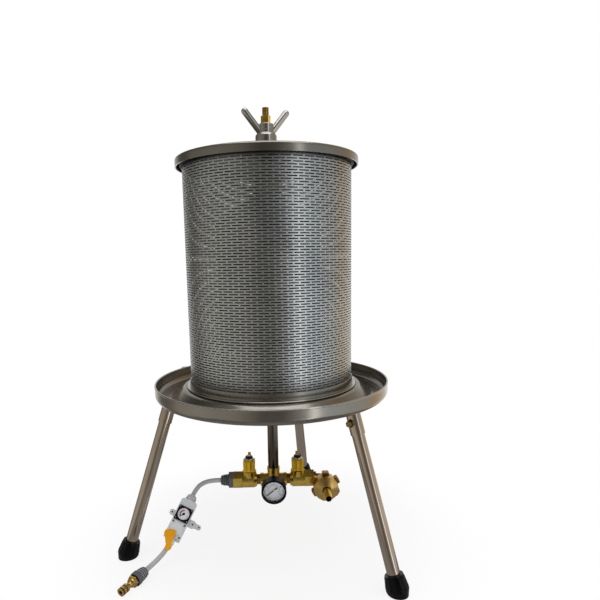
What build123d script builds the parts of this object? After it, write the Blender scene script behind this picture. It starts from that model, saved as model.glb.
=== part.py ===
from build123d import *
import math
import os

# A forty-litre bladder press for fruit, in millimetres. Z is up, the floor is z = 0, the press axis
# is x = y = 0 and the front, with the gauge and the drain, looks along -Y.

# Clearances shared by every fit
rest_gap = 0.3          # between pieces that lift or turn apart
thread_gap = 0.1        # radial play of threads, sockets and sleeves
pivot_gap = 0.05        # radial play of small running pivots

# Press cage: a slotted sheet cylinder between a foot ring and a top rim
cage_outer_radius = 172.0
cage_sheet = 1.5
cage_height = 453.0
slot_rows = 13
slots_per_row = 22
slot_length = 36.0
slot_height = 7.0
slot_cut_depth = 12.0   # length of the slot cutter through the sheet
slot_margin = 16.0      # plain band above and below the slots
foot_ring_overhang = 10.0
foot_ring_width = 24.0
foot_ring_thickness = 3.0
foot_ring_skirt = 14.0   # flared skirt above the flange
foot_ring_edge = 1.8
top_rim_overhang = 5.0
top_rim_height = 6.0

# Juice tray: a dished pan with a raised platform, a gutter and a beaded rim
gutter_width = 37.0     # from the foot of the platform's slope to the rim
tray_rim_height = 363.0
tray_depth = 32.0
tray_sheet = 2.0
tray_corner = 13.0
rim_bead_radius = 1.6
platform_margin = 6.0
platform_rise = 21.0
platform_slope_run = 24.0
platform_bend = 9.0
spout_radius = 13.0
spout_wall = 1.5
spout_length = 80.0
spout_fall = 10.0       # degrees below level

# Tripod: leg tubes in welded sockets, each held by a clamp bolt, on flared rubber feet
leg_count = 3
rear_leg_angle = 74.4   # degrees from +X, seen from above
leg_splay = 18.0        # degrees from upright
leg_inset = 31.9        # leg's top inside the tray's rim
leg_radius = 12.5
leg_wall = 2.0
leg_socket_wall = 1.8
leg_socket_length = 46.0
leg_end_inset = 10.0    # rubber under the end of each tube
leg_top_inset = 6.0
foot_height = 37.0
foot_top_wall = 5.0
foot_flare_wall = 9.5
foot_sole_wall = 4.0
foot_sole_drop = 8.0    # flare drawn past the floor before the sole is cut flat
foot_flare_height = 9.0
clamp_drop = 22.0       # clamp bolt below the top of its socket
clamp_turn = 95.0       # degrees of the clamp bolt round its leg, from the inner side
clamp_bolt_radius = 4.0
clamp_nut_flats = 14.0
clamp_nut_height = 4.0
clamp_head_flats = 11.0
clamp_head_height = 5.0

# Column: a water-fed tube that carries the bladder and ends in the clamping rod
column_step = 4.5       # column's radius over the stub's
column_wall = 3.0
column_top_drop = 20.0  # column shoulder below the cage's top
column_flange_radius = 58.0
column_flange_thickness = 6.0
column_stub_wall = 4.8  # stub's radius over the feed pipe's
column_stub_drop = 36.0
rod_radius = 12.0
rod_bleed_radius = 3.0
water_port_radius = 4.0
water_port_count = 4
lock_nut_flats = 50.0
lock_nut_height = 22.0

# Bladder: a rubber sleeve drawn in at both ends under steel clamps
bladder_radius = 116.0
bladder_neck_radius = 29.0
bladder_wall = 5.0
bladder_neck_length = 26.0
bladder_shoulder = 64.0
bladder_bend = 22.0     # outer bend between shoulder and side
clamp_band_thickness = 3.0
clamp_band_height = 12.0
bladder_nut_flats = 62.0
bladder_nut_height = 14.0

# Lid: a pressed cover with a turned-down rim and a raised centre, on a rubber ring
lid_overhang = 13.5
lid_sheet = 2.0
lid_rim_depth = 17.0
lid_corner = 4.0
lid_crown_rise = 16.0
lid_crown_radius = 62.0
lid_flat_width = 35.5   # level band between the crown's foot and the rim
lid_bend = 22.0
gasket_width = 14.0
gasket_thickness = 6.0

# Clamping nut with two rod wings, its thrust washer and the bleed valve on the rod's end
washer_radius = 26.0
washer_thickness = 4.0
nut_skirt_radius = 22.0
nut_skirt_height = 30.5
nut_shoulder = 4.0
nut_hub_radius = 16.0
nut_height = 48.5
wing_radius = 7.0
wing_reach = 43.0
wing_root_height = 30.5
wing_tip_height = 71.0
wing_turn = 16.0        # degrees the wing line is turned from the X axis
rod_end_inset = 4.0     # rod end below the top of the nut
bleed_hex_flats = 17.0
bleed_hex_height = 20.0
bleed_stub_radius = 4.5
bleed_stub_height = 9.0
bleed_cap_radius = 6.6
bleed_cap_height = 15.5
bleed_cap_flutes = 12
bleed_flute_radius = 0.8

# Feed pipe and brass manifold below the tray
manifold_height = 130.0
feed_radius = 11.7
feed_wall = 2.0
feed_socket_wall = 2.4
feed_socket_drop = 42.0 # socket's top below the platform
feed_socket_length = 34.0
feed_bead = 0.8
feed_bead_height = 7.0
tee_wall = 1.8
tee_half_length = 29.5
tee_collar_wall = 2.8
tee_collar_length = 7.0
tee_branch_height = 29.0
tee_branch_collar_wall = 2.4
tee_pipe_seat = 17.0
tee_boss_radius = 11.5
tee_boss_length = 24.0
tee_boss_collar_radius = 13.5
tee_boss_collar_length = 6.0
waterway_radius = 7.0
nipple_flats = 21.0
nipple_hex_length = 7.5
nipple_thread_radius = 10.0
nipple_thread_length = 6.5

# Ball valves: body, end cap, ball, stem, packing nut and butterfly handle
valve_seat_length = 5.2  # from the ball to the end cap's joint
valve_cap_length = 20.3
valve_cap_flats = 34.0
valve_cap_spigot = 2.5
valve_wall = 7.0
valve_neck_radius = 14.0
valve_neck_length = 6.0
ball_radius = 10.5
ball_slot_width = 4.3
ball_slot_depth = 2.6
bonnet_radius = 15.5
bonnet_rise = 3.5       # bonnet's top above the valve's body
packing_flats = 19.0
packing_height = 5.0
stem_radius = 5.0
stem_tang_width = 4.0
stem_tang_length = 7.0
stem_screw_radius = 3.0
stem_screw_length = 8.0
handle_hub_length = 27.0
handle_hub_width = 27.0
handle_hub_height = 26.5
handle_hub_taper = 2.0   # degrees that each side leans in toward the bonnet
handle_hub_round = 5.0
wing_plate_thickness = 6.0
wing_plate_reach = 33.0
wing_plate_root = 5.5   # wing's root from the stem
wing_plate_low = 2.0    # wing's lower edge above the hub's foot
wing_plate_rise = 32.5  # wing's top above the hub's foot
wing_plate_round = 5.0
handle_nut_flats = 14.0
handle_nut_height = 7.0

# Pressure gauge on the front of the tee
gauge_adapter_flats = 17.0
gauge_adapter_length = 14.0
gauge_thread_radius = 5.4
gauge_thread_length = 9.0
gauge_radius = 26.7
gauge_depth = 32.0
gauge_back_radius = 20.0
gauge_back_taper = 8.0
gauge_face_radius = 24.0
gauge_face_recess = 13.0
gauge_lip = 1.4
gauge_lip_depth = 2.0
dial_thickness = 1.0
lens_thickness = 1.5
needle_zero = 218.0     # degrees from +X, seen from the front
needle_length = 19.0
needle_tail = 8.0
needle_width = 3.0
needle_thickness = 0.8
needle_hub_radius = 2.4
needle_lift = 1.0
spindle_radius = 1.2
spindle_depth = 3.0

# Drain: elbow, lugged union nut and hose tail, looking forward
drain_elbow_bend = 14.0
drain_elbow_start = 8.0
drain_collar_flats = 26.0
drain_collar_length = 5.0
drain_thread_radius = 18.5
drain_thread_near = 30.0
drain_thread_far = 44.0
union_radius = 26.3
union_near = 36.0
union_far = 70.0
union_shoulder = 60.0
union_face_radius = 15.0
union_wall = 4.0
union_web = 12.0        # thickness of the nut's front wall
lug_count = 6
lug_radius = 32.0
lug_width = 15.0
lug_length = 13.0
lug_round = 3.0
lug_turn = 30.0         # degrees of the first lug from level
tail_collar_radius = 16.5
tail_radius = 7.6
tail_bore_radius = 6.0
tail_end = 106.0
tail_barb_count = 3
tail_barb_length = 9.0
tail_barb_rise = 0.9

# Hose and its inlet gland
hose_radius = 5.0
gland_flange_flats = 33.0
gland_flange_length = 10.0
gland_dome_radius = 12.5
gland_dome_length = 18.0
gland_mouth_radius = 8.0
gland_rib_count = 4
gland_groove_width = 1.3 # between two ribs
gland_groove_depth = 1.1
gland_spigot_radius = 9.9
gland_spigot_length = 6.0
hose_bend_share = 0.45  # share of the shorter run that each bend of the hose takes

# Regulator: a moulded body with a square-framed gauge, a cover and a shut-off lever
regulator_facing = (0.16, -0.87, 0.46)
regulator_union_radius = 12.0
regulator_union_length = 15.0
regulator_outlet_radius = 9.0
regulator_outlet_length = 12.0
regulator_width = 36.0
regulator_depth = 26.0
regulator_corner = 4.0
regulator_round = 2.0
frame_width = 31.0
frame_height = 30.0
frame_thickness = 3.0
frame_inset = 17.0      # frame's upper edge below the top of the body
frame_dial_radius = 12.5
frame_dial_recess = 2.2
frame_needle_length = 9.0
frame_needle_tail = 3.0
frame_needle_angle = 235.0
cover_width = 33.0
cover_height = 33.0
cover_thickness = 2.0
cover_boss_radius = 13.5
cover_boss_height = 1.4
cover_screw_radius = 2.4
cover_screw_head = 1.2
cover_screw_inset = 3.4
ear_thickness = 4.0
ear_hole_radius = 1.8
left_ear_place = 32.0
left_ear_reach = 24.0
left_ear_half = 6.0
right_ear_place = 38.0
right_ear_reaches = (27.0, 42.0)
right_ear_halves = (8.0, 5.0)
lever_length = 26.0      # from the pin to the middle of the tip
lever_head_width = 24.0
lever_head_rise = 8.0    # head's top above the pin
lever_head_round = 3.0
lever_waist_width = 11.0
lever_waist_place = 19.0 # waist below the pin
lever_tip_radius = 6.6
lever_thickness = 5.0
lever_lift = 2.0
lever_turn = 20.0       # degrees from the body's length at rest
lever_side = -7.5
lever_place = 80.0
lever_pin_radius = 3.0
lever_pin_depth = 8.0

# Tap connector
connector_gland_dome = 19.0
connector_gland_flange = 11.0
connector_flange_flats = 24.0
connector_dome_radius = 11.8
connector_mouth_radius = 7.0
connector_hex_flats = 21.0
connector_hex_length = 7.0
connector_bell_length = 9.0 # from the hexagon to the neck
connector_neck_radius = 5.6
connector_neck_length = 3.5
connector_shoulder_radius = 8.2
connector_shoulder_length = 6.0
connector_groove_radius = 6.6
connector_groove_length = 3.0
connector_nose_radius = 8.2
connector_nose_length = 9.0
connector_bore_radius = 4.0
connector_seal_inset = 2.6
connector_seal_radius = 1.3
connector_ramp = 2.0     # length of the lead-in behind the catch shoulder

STANDING = (Align.CENTER, Align.CENTER, Align.MIN)

# Heights and radii that follow from the sizes above
column_stub_radius = feed_radius + column_stub_wall
column_radius = column_stub_radius + column_step
feed_socket_radius = feed_radius + feed_socket_wall
tee_radius = feed_radius + tee_wall
tee_collar_radius = feed_radius + tee_collar_wall
tee_branch_collar_radius = feed_radius + tee_branch_collar_wall
valve_radius = ball_radius + valve_wall
valve_ball_offset = nipple_thread_length + ball_radius
valve_body_length = valve_ball_offset + ball_radius + valve_seat_length
bonnet_height = valve_radius + bonnet_rise
gutter_top = tray_rim_height - tray_depth + tray_sheet
tray_under = tray_rim_height - tray_depth
platform_top = gutter_top + platform_rise
foot_ring_radius = cage_outer_radius + foot_ring_overhang
platform_radius = foot_ring_radius + platform_margin
tray_radius = platform_radius + platform_slope_run + gutter_width
foot_circle_radius = tray_radius - leg_inset + tray_under * math.tan(math.radians(leg_splay))
feed_socket_high = platform_top - feed_socket_drop
feed_socket_low = feed_socket_high - feed_socket_length
cage_low = platform_top + rest_gap + foot_ring_thickness
cage_high = cage_low + cage_height
lid_radius = cage_outer_radius + lid_overhang
lid_crown_foot = lid_radius - lid_flat_width
lid_plate_low = cage_high + rest_gap + gasket_thickness
lid_plate_top = lid_plate_low + lid_sheet
lid_crown_top = lid_plate_top + lid_crown_rise
washer_low = lid_crown_top + rest_gap
nut_low = washer_low + washer_thickness + rest_gap
nut_high = nut_low + nut_height
rod_high = nut_high - rod_end_inset
column_high = cage_high - column_top_drop
stem_reach = tee_half_length + nipple_hex_length + valve_ball_offset
valve_near = tee_half_length + nipple_hex_length
valve_far = valve_near + valve_body_length + valve_cap_length
cavity_radius = ball_radius + rest_gap
handle_low = bonnet_height + rest_gap
packing_radius = packing_flats / 2 / math.cos(math.radians(30))
handle_high = handle_low + handle_hub_height
drain_x = valve_far + drain_elbow_start + drain_elbow_bend
gauge_back = tee_boss_length + gauge_adapter_length
gauge_front = gauge_back + gauge_depth
gland_mouth = valve_far + gland_flange_length + gland_dome_length

# Hose routes: from the inlet gland to the regulator, and from there to the connector on the floor
upper_route = [
    (-gland_mouth, 0.0, manifold_height),
    (-137.0, 0.0, manifold_height),
    (-156.5, -6.7, 128.1),
    (-171.06, -18.07, 120.924),
    (-178.2, -31.0, 109.0),
]
lower_route = [
    (-219.5, -105.8, 40.03),
    (-224.01, -113.967, 32.499),
    (-236.3, -129.9, 22.8),
    (-249.12, -144.79, 16.562),
    (-257.2, -159.1, 15.1),
]


def disc(radius, low, high):
    """Round bar on the Z axis between two heights."""
    return Pos(0, 0, low) * Cylinder(radius, high - low, align=STANDING)


def tube(outer, inner, low, high):
    """Hollow round bar on the Z axis."""
    return disc(outer, low, high) - disc(inner, low, high)


def hex_bar(flats, low, high):
    """Hexagonal bar on the Z axis, measured across its flats."""
    return Pos(0, 0, low) * extrude(RegularPolygon(flats / 2, 6, major_radius=False), high - low)


def turned(*points):
    """Solid turned about Z from (radius, height) points."""
    return revolve(Plane.XZ * make_face(Polyline(*points, close=True)), Axis.Z)


def pressed(path, thickness):
    """Sheet turned about Z along a (radius, height) path, the path being its middle."""
    return revolve(Plane.XZ * trace(path, line_width=thickness), Axis.Z)


def flow_place(side):
    """Frame at the manifold's centre with Z running outward along +X or -X and X pointing up."""
    return Plane((0, 0, manifold_height), x_dir=(0, 0, 1), z_dir=(side, 0, 0)).location


def front_place(x):
    """Frame on the manifold's axis with Z running forward, X to the right and Y up."""
    return Plane((x, 0, manifold_height), x_dir=(1, 0, 0), z_dir=(0, -1, 0)).location


def stem_place(side):
    """Upright frame at a valve's stem, on the manifold's axis."""
    return Pos(side * stem_reach, 0, manifold_height)


def leg_places():
    """Frames of the legs, with Z up along each leg from the floor and X toward the press axis."""
    splay = math.radians(leg_splay)
    places = []
    for index in range(leg_count):
        angle = math.radians(rear_leg_angle + index * 360 / leg_count)
        out = (math.cos(angle), math.sin(angle))
        foot = (foot_circle_radius * out[0], foot_circle_radius * out[1], 0)
        up = (-math.sin(splay) * out[0], -math.sin(splay) * out[1], math.cos(splay))
        inward = (-math.cos(splay) * out[0], -math.cos(splay) * out[1], -math.sin(splay))
        places.append(Plane(foot, x_dir=inward, z_dir=up).location)
    return places


leg_top = tray_under / math.cos(math.radians(leg_splay))
socket_bore = leg_radius + thread_gap
socket_radius = leg_radius + leg_socket_wall
clamp_height = leg_top - clamp_drop


def group(pieces):
    """Several separate like pieces as one node."""
    return Compound(children=[solid for piece in pieces for solid in piece.solids()])


# Tray and tripod

def spout_place():
    """Frame at the gutter wall with X running outward down the spout."""
    angle = rear_leg_angle + 180 / leg_count
    reach = tray_radius - rim_bead_radius
    return Rot(0, 0, angle) * Pos(reach, 0, gutter_top + spout_radius - spout_wall) * Rot(0, spout_fall, 0)


def lying(radius, start, end):
    """Round bar along X."""
    return Pos(start, 0, 0) * Rot(0, 90, 0) * Cylinder(radius, end - start, align=STANDING)


def make_tray():
    middle = gutter_top - tray_sheet / 2
    deck = platform_top - tray_sheet / 2
    wall = tray_radius - rim_bead_radius
    path = FilletPolyline(
        (column_stub_radius + thread_gap, deck),
        (platform_radius, deck),
        (platform_radius + platform_slope_run, middle),
        (wall, middle),
        (wall, tray_rim_height - rim_bead_radius),
        radius=[platform_bend, platform_bend, tray_corner],
    )
    bead = Pos(0, 0, tray_rim_height - rim_bead_radius) * Torus(wall, rim_bead_radius)
    pan = pressed(path, tray_sheet) + bead
    outlet = spout_place() * lying(spout_radius - spout_wall, -2 * tray_corner, 2 * tray_corner)
    return pan - outlet


def make_spout(tray):
    """Spout tube, closed against the outside of the gutter wall."""
    outer = lying(spout_radius, -tray_corner, spout_length)
    pipe = outer - lying(spout_radius - spout_wall, -2 * tray_corner, 2 * spout_length)
    pieces = (spout_place() * pipe - tray).solids()
    return max(pieces, key=lambda piece: math.hypot(piece.center().X, piece.center().Y))


def make_leg_sockets():
    """Open sockets under the gutter, cut to its underside and drilled for their clamp bolts."""
    sleeve = tube(socket_radius, socket_bore, leg_top - leg_socket_length, leg_top + leg_socket_length)
    hole = Pos(0, 0, clamp_height) * lying(clamp_bolt_radius + thread_gap, 0, 2 * socket_radius)
    hole = Rot(0, 0, clamp_turn) * hole
    side = 3 * tray_radius
    above = Pos(0, 0, tray_under) * Box(side, side, 3 * leg_socket_length, align=STANDING)
    return group([place * (sleeve - hole) - above for place in leg_places()])


def make_leg_tubes():
    leg = tube(leg_radius, leg_radius - leg_wall, leg_end_inset, leg_top - leg_top_inset)
    return group([place * leg for place in leg_places()])


def make_feet():
    """Flared ferrules whose soles are cut level with the floor."""
    bore = leg_radius + thread_gap
    ferrule = turned(
        (0, -foot_sole_drop),
        (leg_radius + foot_sole_wall, -foot_sole_drop),
        (leg_radius + foot_flare_wall, foot_flare_height),
        (leg_radius + foot_top_wall, foot_height),
        (bore, foot_height),
        (bore, leg_end_inset),
        (0, leg_end_inset),
    )
    reach = 2 * foot_circle_radius
    floor = Box(2 * reach, 2 * reach, foot_height, align=(Align.CENTER, Align.CENTER, Align.MAX))
    return group([place * ferrule - floor for place in leg_places()])


def make_clamp_nuts():
    nut = hex_bar(clamp_nut_flats, socket_radius, socket_radius + clamp_nut_height)
    nut -= disc(clamp_bolt_radius + thread_gap, socket_radius, socket_radius + clamp_nut_height)
    side = Rot(0, 0, clamp_turn) * Pos(0, 0, clamp_height) * Rot(0, 90, 0)
    return group([place * side * nut for place in leg_places()])


def make_clamp_bolts():
    under_head = socket_radius + clamp_nut_height
    bolt = disc(clamp_bolt_radius, leg_radius + thread_gap, under_head)
    bolt += hex_bar(clamp_head_flats, under_head, under_head + clamp_head_height)
    side = Rot(0, 0, clamp_turn) * Pos(0, 0, clamp_height) * Rot(0, 90, 0)
    return group([place * side * bolt for place in leg_places()])


# Column and bladder

bladder_low = platform_top + column_flange_thickness + rest_gap
bladder_high = column_high - bladder_nut_height - rest_gap
feed_seat = (feed_socket_low + feed_socket_high) / 2


def make_column():
    """Flanged water column with a threaded rod above and a feed stub below."""
    stub_low = platform_top - column_stub_drop
    bore = feed_radius - feed_wall
    solid = turned(
        (0, feed_seat + rest_gap),
        (feed_radius, feed_seat + rest_gap),
        (feed_radius, stub_low),
        (column_stub_radius, stub_low),
        (column_stub_radius, platform_top),
        (column_flange_radius, platform_top),
        (column_flange_radius, platform_top + column_flange_thickness),
        (column_radius, platform_top + column_flange_thickness),
        (column_radius, column_high),
        (rod_radius, column_high),
        (rod_radius, rod_high),
        (0, rod_high),
    )
    deck = platform_top + column_flange_thickness
    solid -= disc(bore, feed_seat, deck)
    solid -= disc(column_radius - column_wall, deck, column_high - column_wall)
    solid -= disc(rod_bleed_radius, column_high - column_wall, rod_high)
    span = bladder_high - bladder_low - 2 * bladder_neck_length - 2 * bladder_shoulder
    for index in range(water_port_count):
        height = bladder_low + bladder_neck_length + bladder_shoulder
        height += span * index / (water_port_count - 1)
        port = Pos(0, 0, height) * Rot(0, 0, 90 * (index % 2))
        solid -= port * lying(water_port_radius, -column_flange_radius, column_flange_radius)
    return solid


def make_lock_nut():
    high = platform_top - tray_sheet
    low = high - lock_nut_height
    return hex_bar(lock_nut_flats, low, high) - disc(column_stub_radius + thread_gap, low, high)


def make_bladder():
    """Sleeve that lies on the column, drawn in to a neck at either end."""
    bore = column_radius + thread_gap
    low_neck = bladder_low + bladder_neck_length
    high_neck = bladder_high - bladder_neck_length
    outline = [
        (bladder_neck_radius, bladder_low),
        (bladder_neck_radius, low_neck),
        (bladder_radius, low_neck + bladder_shoulder),
        (bladder_radius, high_neck - bladder_shoulder),
        (bladder_neck_radius, high_neck),
        (bladder_neck_radius, bladder_high),
    ]
    bends = [bladder_wall, bladder_bend, bladder_bend, bladder_wall]
    outer = FilletPolyline(*outline, radius=bends)
    inner = Polyline(outline[-1], (bore, bladder_high), (bore, bladder_low), outline[0])
    sleeve = revolve(Plane.XZ * make_face([*outer.edges(), *inner.edges()]), Axis.Z)
    cavity = turned(
        (bore, low_neck),
        (bladder_neck_radius - bladder_wall, low_neck),
        (bladder_radius - bladder_wall, low_neck + bladder_shoulder),
        (bladder_radius - bladder_wall, high_neck - bladder_shoulder),
        (bladder_neck_radius - bladder_wall, high_neck),
        (bore, high_neck),
    )
    return sleeve - cavity


def make_bladder_clamps():
    inner = bladder_neck_radius + thread_gap
    outer = bladder_neck_radius + clamp_band_thickness
    inset = (bladder_neck_length - clamp_band_height) / 2
    band = tube(outer, inner, 0, clamp_band_height)
    low = bladder_low + inset - bladder_wall / 2
    high = bladder_high - inset - clamp_band_height + bladder_wall / 2
    return group([Pos(0, 0, low) * band, Pos(0, 0, high) * band])


def make_bladder_nut():
    low = column_high - bladder_nut_height
    return hex_bar(bladder_nut_flats, low, column_high) - disc(column_radius + thread_gap, low, column_high)


# Cage, lid and clamping nut

def make_cage():
    """Sheet cylinder with rows of level slots, each row half a pitch round from the last."""
    sheet = tube(cage_outer_radius, cage_outer_radius - cage_sheet, cage_low, cage_high)
    slot = Box(slot_cut_depth, slot_length, slot_height)
    row_pitch = (cage_height - 2 * slot_margin - slot_height) / (slot_rows - 1)
    cuts = []
    for row in range(slot_rows):
        height = cage_low + slot_margin + slot_height / 2 + row * row_pitch
        for column in range(slots_per_row):
            angle = (column + row % 2 / 2) * 360 / slots_per_row
            cuts.append(Rot(0, 0, angle) * Pos(cage_outer_radius, 0, height) * slot)
    return sheet - cuts


def make_foot_ring():
    """Foot flange under the cage, with a flared skirt round the foot of its sheet."""
    inner = foot_ring_radius - foot_ring_width
    seat = cage_outer_radius + thread_gap
    return turned(
        (inner, cage_low - foot_ring_thickness),
        (foot_ring_radius, cage_low - foot_ring_thickness),
        (foot_ring_radius, cage_low + foot_ring_edge),
        (foot_ring_radius - foot_ring_edge, cage_low + 2 * foot_ring_edge),
        (seat + 2 * foot_ring_edge, cage_low + foot_ring_skirt - foot_ring_edge),
        (seat + foot_ring_edge, cage_low + foot_ring_skirt),
        (seat, cage_low + foot_ring_skirt),
        (seat, cage_low),
        (inner, cage_low),
    )


def make_top_rim():
    outer = cage_outer_radius + top_rim_overhang
    return tube(outer, cage_outer_radius + thread_gap, cage_high - top_rim_height, cage_high)


def make_lid():
    crown = lid_crown_top - lid_sheet / 2
    plate = lid_plate_top - lid_sheet / 2
    edge = lid_radius - lid_sheet / 2
    path = FilletPolyline(
        (rod_radius + rest_gap, crown),
        (lid_crown_radius, crown),
        (lid_crown_foot, plate),
        (edge, plate),
        (edge, lid_plate_top - lid_rim_depth),
        radius=[lid_bend, lid_bend, lid_corner],
    )
    return pressed(path, lid_sheet)


def make_gasket():
    inner = cage_outer_radius + top_rim_overhang - gasket_width
    return tube(inner + gasket_width, inner, lid_plate_low - gasket_thickness, lid_plate_low)


def make_washer():
    return tube(washer_radius, rod_radius + rest_gap, washer_low, washer_low + washer_thickness)


def make_nut():
    body = turned(
        (rod_radius + thread_gap, nut_low),
        (nut_skirt_radius, nut_low),
        (nut_skirt_radius, nut_low + nut_skirt_height - nut_shoulder),
        (nut_skirt_radius - nut_shoulder, nut_low + nut_skirt_height),
        (nut_hub_radius, nut_low + nut_skirt_height),
        (nut_hub_radius, nut_high),
        (rod_radius + thread_gap, nut_high),
    )
    return body


def make_wings():
    """Two round rods welded to the hub, leaning out and up, with rounded tips, clear of the rod's way."""
    hub = disc(nut_hub_radius, nut_low + nut_skirt_height, nut_high)
    collar = disc(nut_skirt_radius, nut_low, nut_low + nut_skirt_height)
    root = Vector(0, 0, nut_low + wing_root_height)
    tip = Vector(wing_reach, 0, nut_low + wing_tip_height)
    lean = tip - root
    bar = Plane(root, x_dir=(0, 1, 0), z_dir=lean).location * disc(wing_radius, 0, lean.length)
    way = disc(rod_radius + rest_gap, nut_high, nut_low + wing_tip_height)
    rod = bar + Pos(tip) * Sphere(wing_radius) - hub - collar - way
    outer = max(rod.solids(), key=lambda piece: piece.volume)
    return group([Rot(0, 0, wing_turn + turn) * Part(outer.wrapped) for turn in (0, 180)])


def make_bleed_valve():
    body = hex_bar(bleed_hex_flats, rod_high, rod_high + bleed_hex_height)
    top = rod_high + bleed_hex_height
    return body + disc(bleed_stub_radius, top, top + bleed_stub_height)


def make_bleed_cap():
    """Fluted cap screwed over the stub of the bleed valve."""
    low = rod_high + bleed_hex_height + rest_gap
    cap = disc(bleed_cap_radius, low, low + bleed_cap_height)
    cap -= disc(bleed_stub_radius + thread_gap, low, low + bleed_stub_height + rest_gap)
    flute = Pos(bleed_cap_radius, 0, 0) * disc(bleed_flute_radius, low, low + bleed_cap_height)
    turns = [Rot(0, 0, index * 360 / bleed_cap_flutes) * flute for index in range(bleed_cap_flutes)]
    return cap - turns


# Feed pipe and manifold

def make_feed_socket():
    bore = feed_radius + thread_gap
    solid = turned(
        (bore, feed_socket_low),
        (feed_socket_radius + feed_bead, feed_socket_low),
        (feed_socket_radius + feed_bead, feed_socket_low + feed_bead_height),
        (feed_socket_radius, feed_socket_low + feed_bead_height + feed_bead),
        (feed_socket_radius, feed_socket_high - feed_bead_height - feed_bead),
        (feed_socket_radius + feed_bead, feed_socket_high - feed_bead_height),
        (feed_socket_radius + feed_bead, feed_socket_high),
        (bore, feed_socket_high),
    )
    return solid


def make_feed_pipe():
    low = manifold_height + tee_pipe_seat
    return tube(feed_radius, feed_radius - feed_wall, low, feed_seat - rest_gap)


def make_tee():
    """Cast tee with beaded ends, a pipe branch above and a gauge boss in front."""
    arm = disc(tee_radius, 0, tee_half_length)
    arm += disc(tee_collar_radius, tee_half_length - tee_collar_length, tee_half_length)
    branch = disc(tee_radius, 0, tee_branch_height)
    branch += disc(tee_branch_collar_radius, tee_branch_height - tee_collar_length, tee_branch_height)
    boss = disc(tee_boss_radius, 0, tee_boss_length)
    boss += disc(tee_boss_collar_radius, tee_boss_length - tee_boss_collar_length, tee_boss_length)
    upright = Pos(0, 0, manifold_height)
    body = flow_place(1) * arm + flow_place(-1) * arm + upright * branch + front_place(0) * boss
    thread_low = tee_half_length - nipple_thread_length
    thread = disc(nipple_thread_radius + thread_gap, thread_low, tee_half_length)
    way = disc(waterway_radius, 0, tee_half_length) + thread
    seat = disc(feed_radius + thread_gap, tee_pipe_seat, tee_branch_height)
    seat += disc(waterway_radius, 0, tee_pipe_seat)
    gauge_way = disc(gauge_thread_radius + thread_gap, 0, tee_boss_length)
    body -= flow_place(1) * way + flow_place(-1) * way
    return body - upright * seat - front_place(0) * gauge_way


def make_nipples():
    far = tee_half_length + nipple_hex_length
    solid = hex_bar(nipple_flats, tee_half_length, far)
    solid += disc(nipple_thread_radius, tee_half_length - nipple_thread_length, far + nipple_thread_length)
    solid -= disc(waterway_radius, tee_half_length - nipple_thread_length, far + nipple_thread_length)
    return group([flow_place(side) * solid for side in (1, -1)])


def make_valve_body(side):
    """Valve body with its ball chamber open toward the end cap and a bonnet for the stem."""
    low = valve_near
    high = valve_near + valve_body_length
    ball = valve_near + valve_ball_offset
    shell = turned(
        (0, low),
        (valve_neck_radius, low),
        (valve_radius, low + valve_neck_length),
        (valve_radius, high),
        (0, high),
    )
    bonnet = Pos(0, 0, ball) * lying(bonnet_radius, 0, bonnet_height)
    chamber = Pos(0, 0, ball) * Sphere(cavity_radius) + disc(cavity_radius, ball, high)
    thread = disc(nipple_thread_radius + thread_gap, low, low + nipple_thread_length)
    stem = Pos(0, 0, ball) * lying(stem_radius + pivot_gap, 0, bonnet_height)
    way = disc(waterway_radius, low, high)
    return flow_place(side) * (shell + bonnet - chamber - thread - stem - way)


def make_end_caps():
    low = valve_near + valve_body_length
    cap = hex_bar(valve_cap_flats, low, valve_far)
    cap += disc(cavity_radius - thread_gap, low - valve_cap_spigot, low)
    cap -= disc(waterway_radius, low - valve_cap_spigot, valve_far)
    cap -= disc(nipple_thread_radius + thread_gap, valve_far - nipple_thread_length, valve_far)
    return group([flow_place(side) * cap for side in (1, -1)])


def make_packing_nuts():
    nut = hex_bar(packing_flats, bonnet_height, bonnet_height + packing_height)
    nut -= disc(stem_radius + pivot_gap, bonnet_height, bonnet_height + packing_height)
    return group([stem_place(side) * nut for side in (1, -1)])


def make_ball(side):
    """Ball with its bore across the flow, as it stands when the valve is shut, and a slot on top."""
    ball = Sphere(ball_radius) - Rot(90, 0, 0) * Cylinder(waterway_radius, 3 * ball_radius)
    slot = Pos(0, 0, ball_radius) * Box(ball_slot_width, 3 * ball_radius, 2 * ball_slot_depth)
    return stem_place(side) * (ball - slot)


def make_stem(side):
    low = cavity_radius
    tang_low = ball_radius - ball_slot_depth + thread_gap
    tang = Pos(0, 0, tang_low) * Box(stem_tang_width, stem_tang_length, low - tang_low, align=STANDING)
    post = disc(stem_radius, low, handle_high) + tang
    return stem_place(side) * (post + disc(stem_screw_radius, handle_high, handle_high + stem_screw_length))


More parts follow.
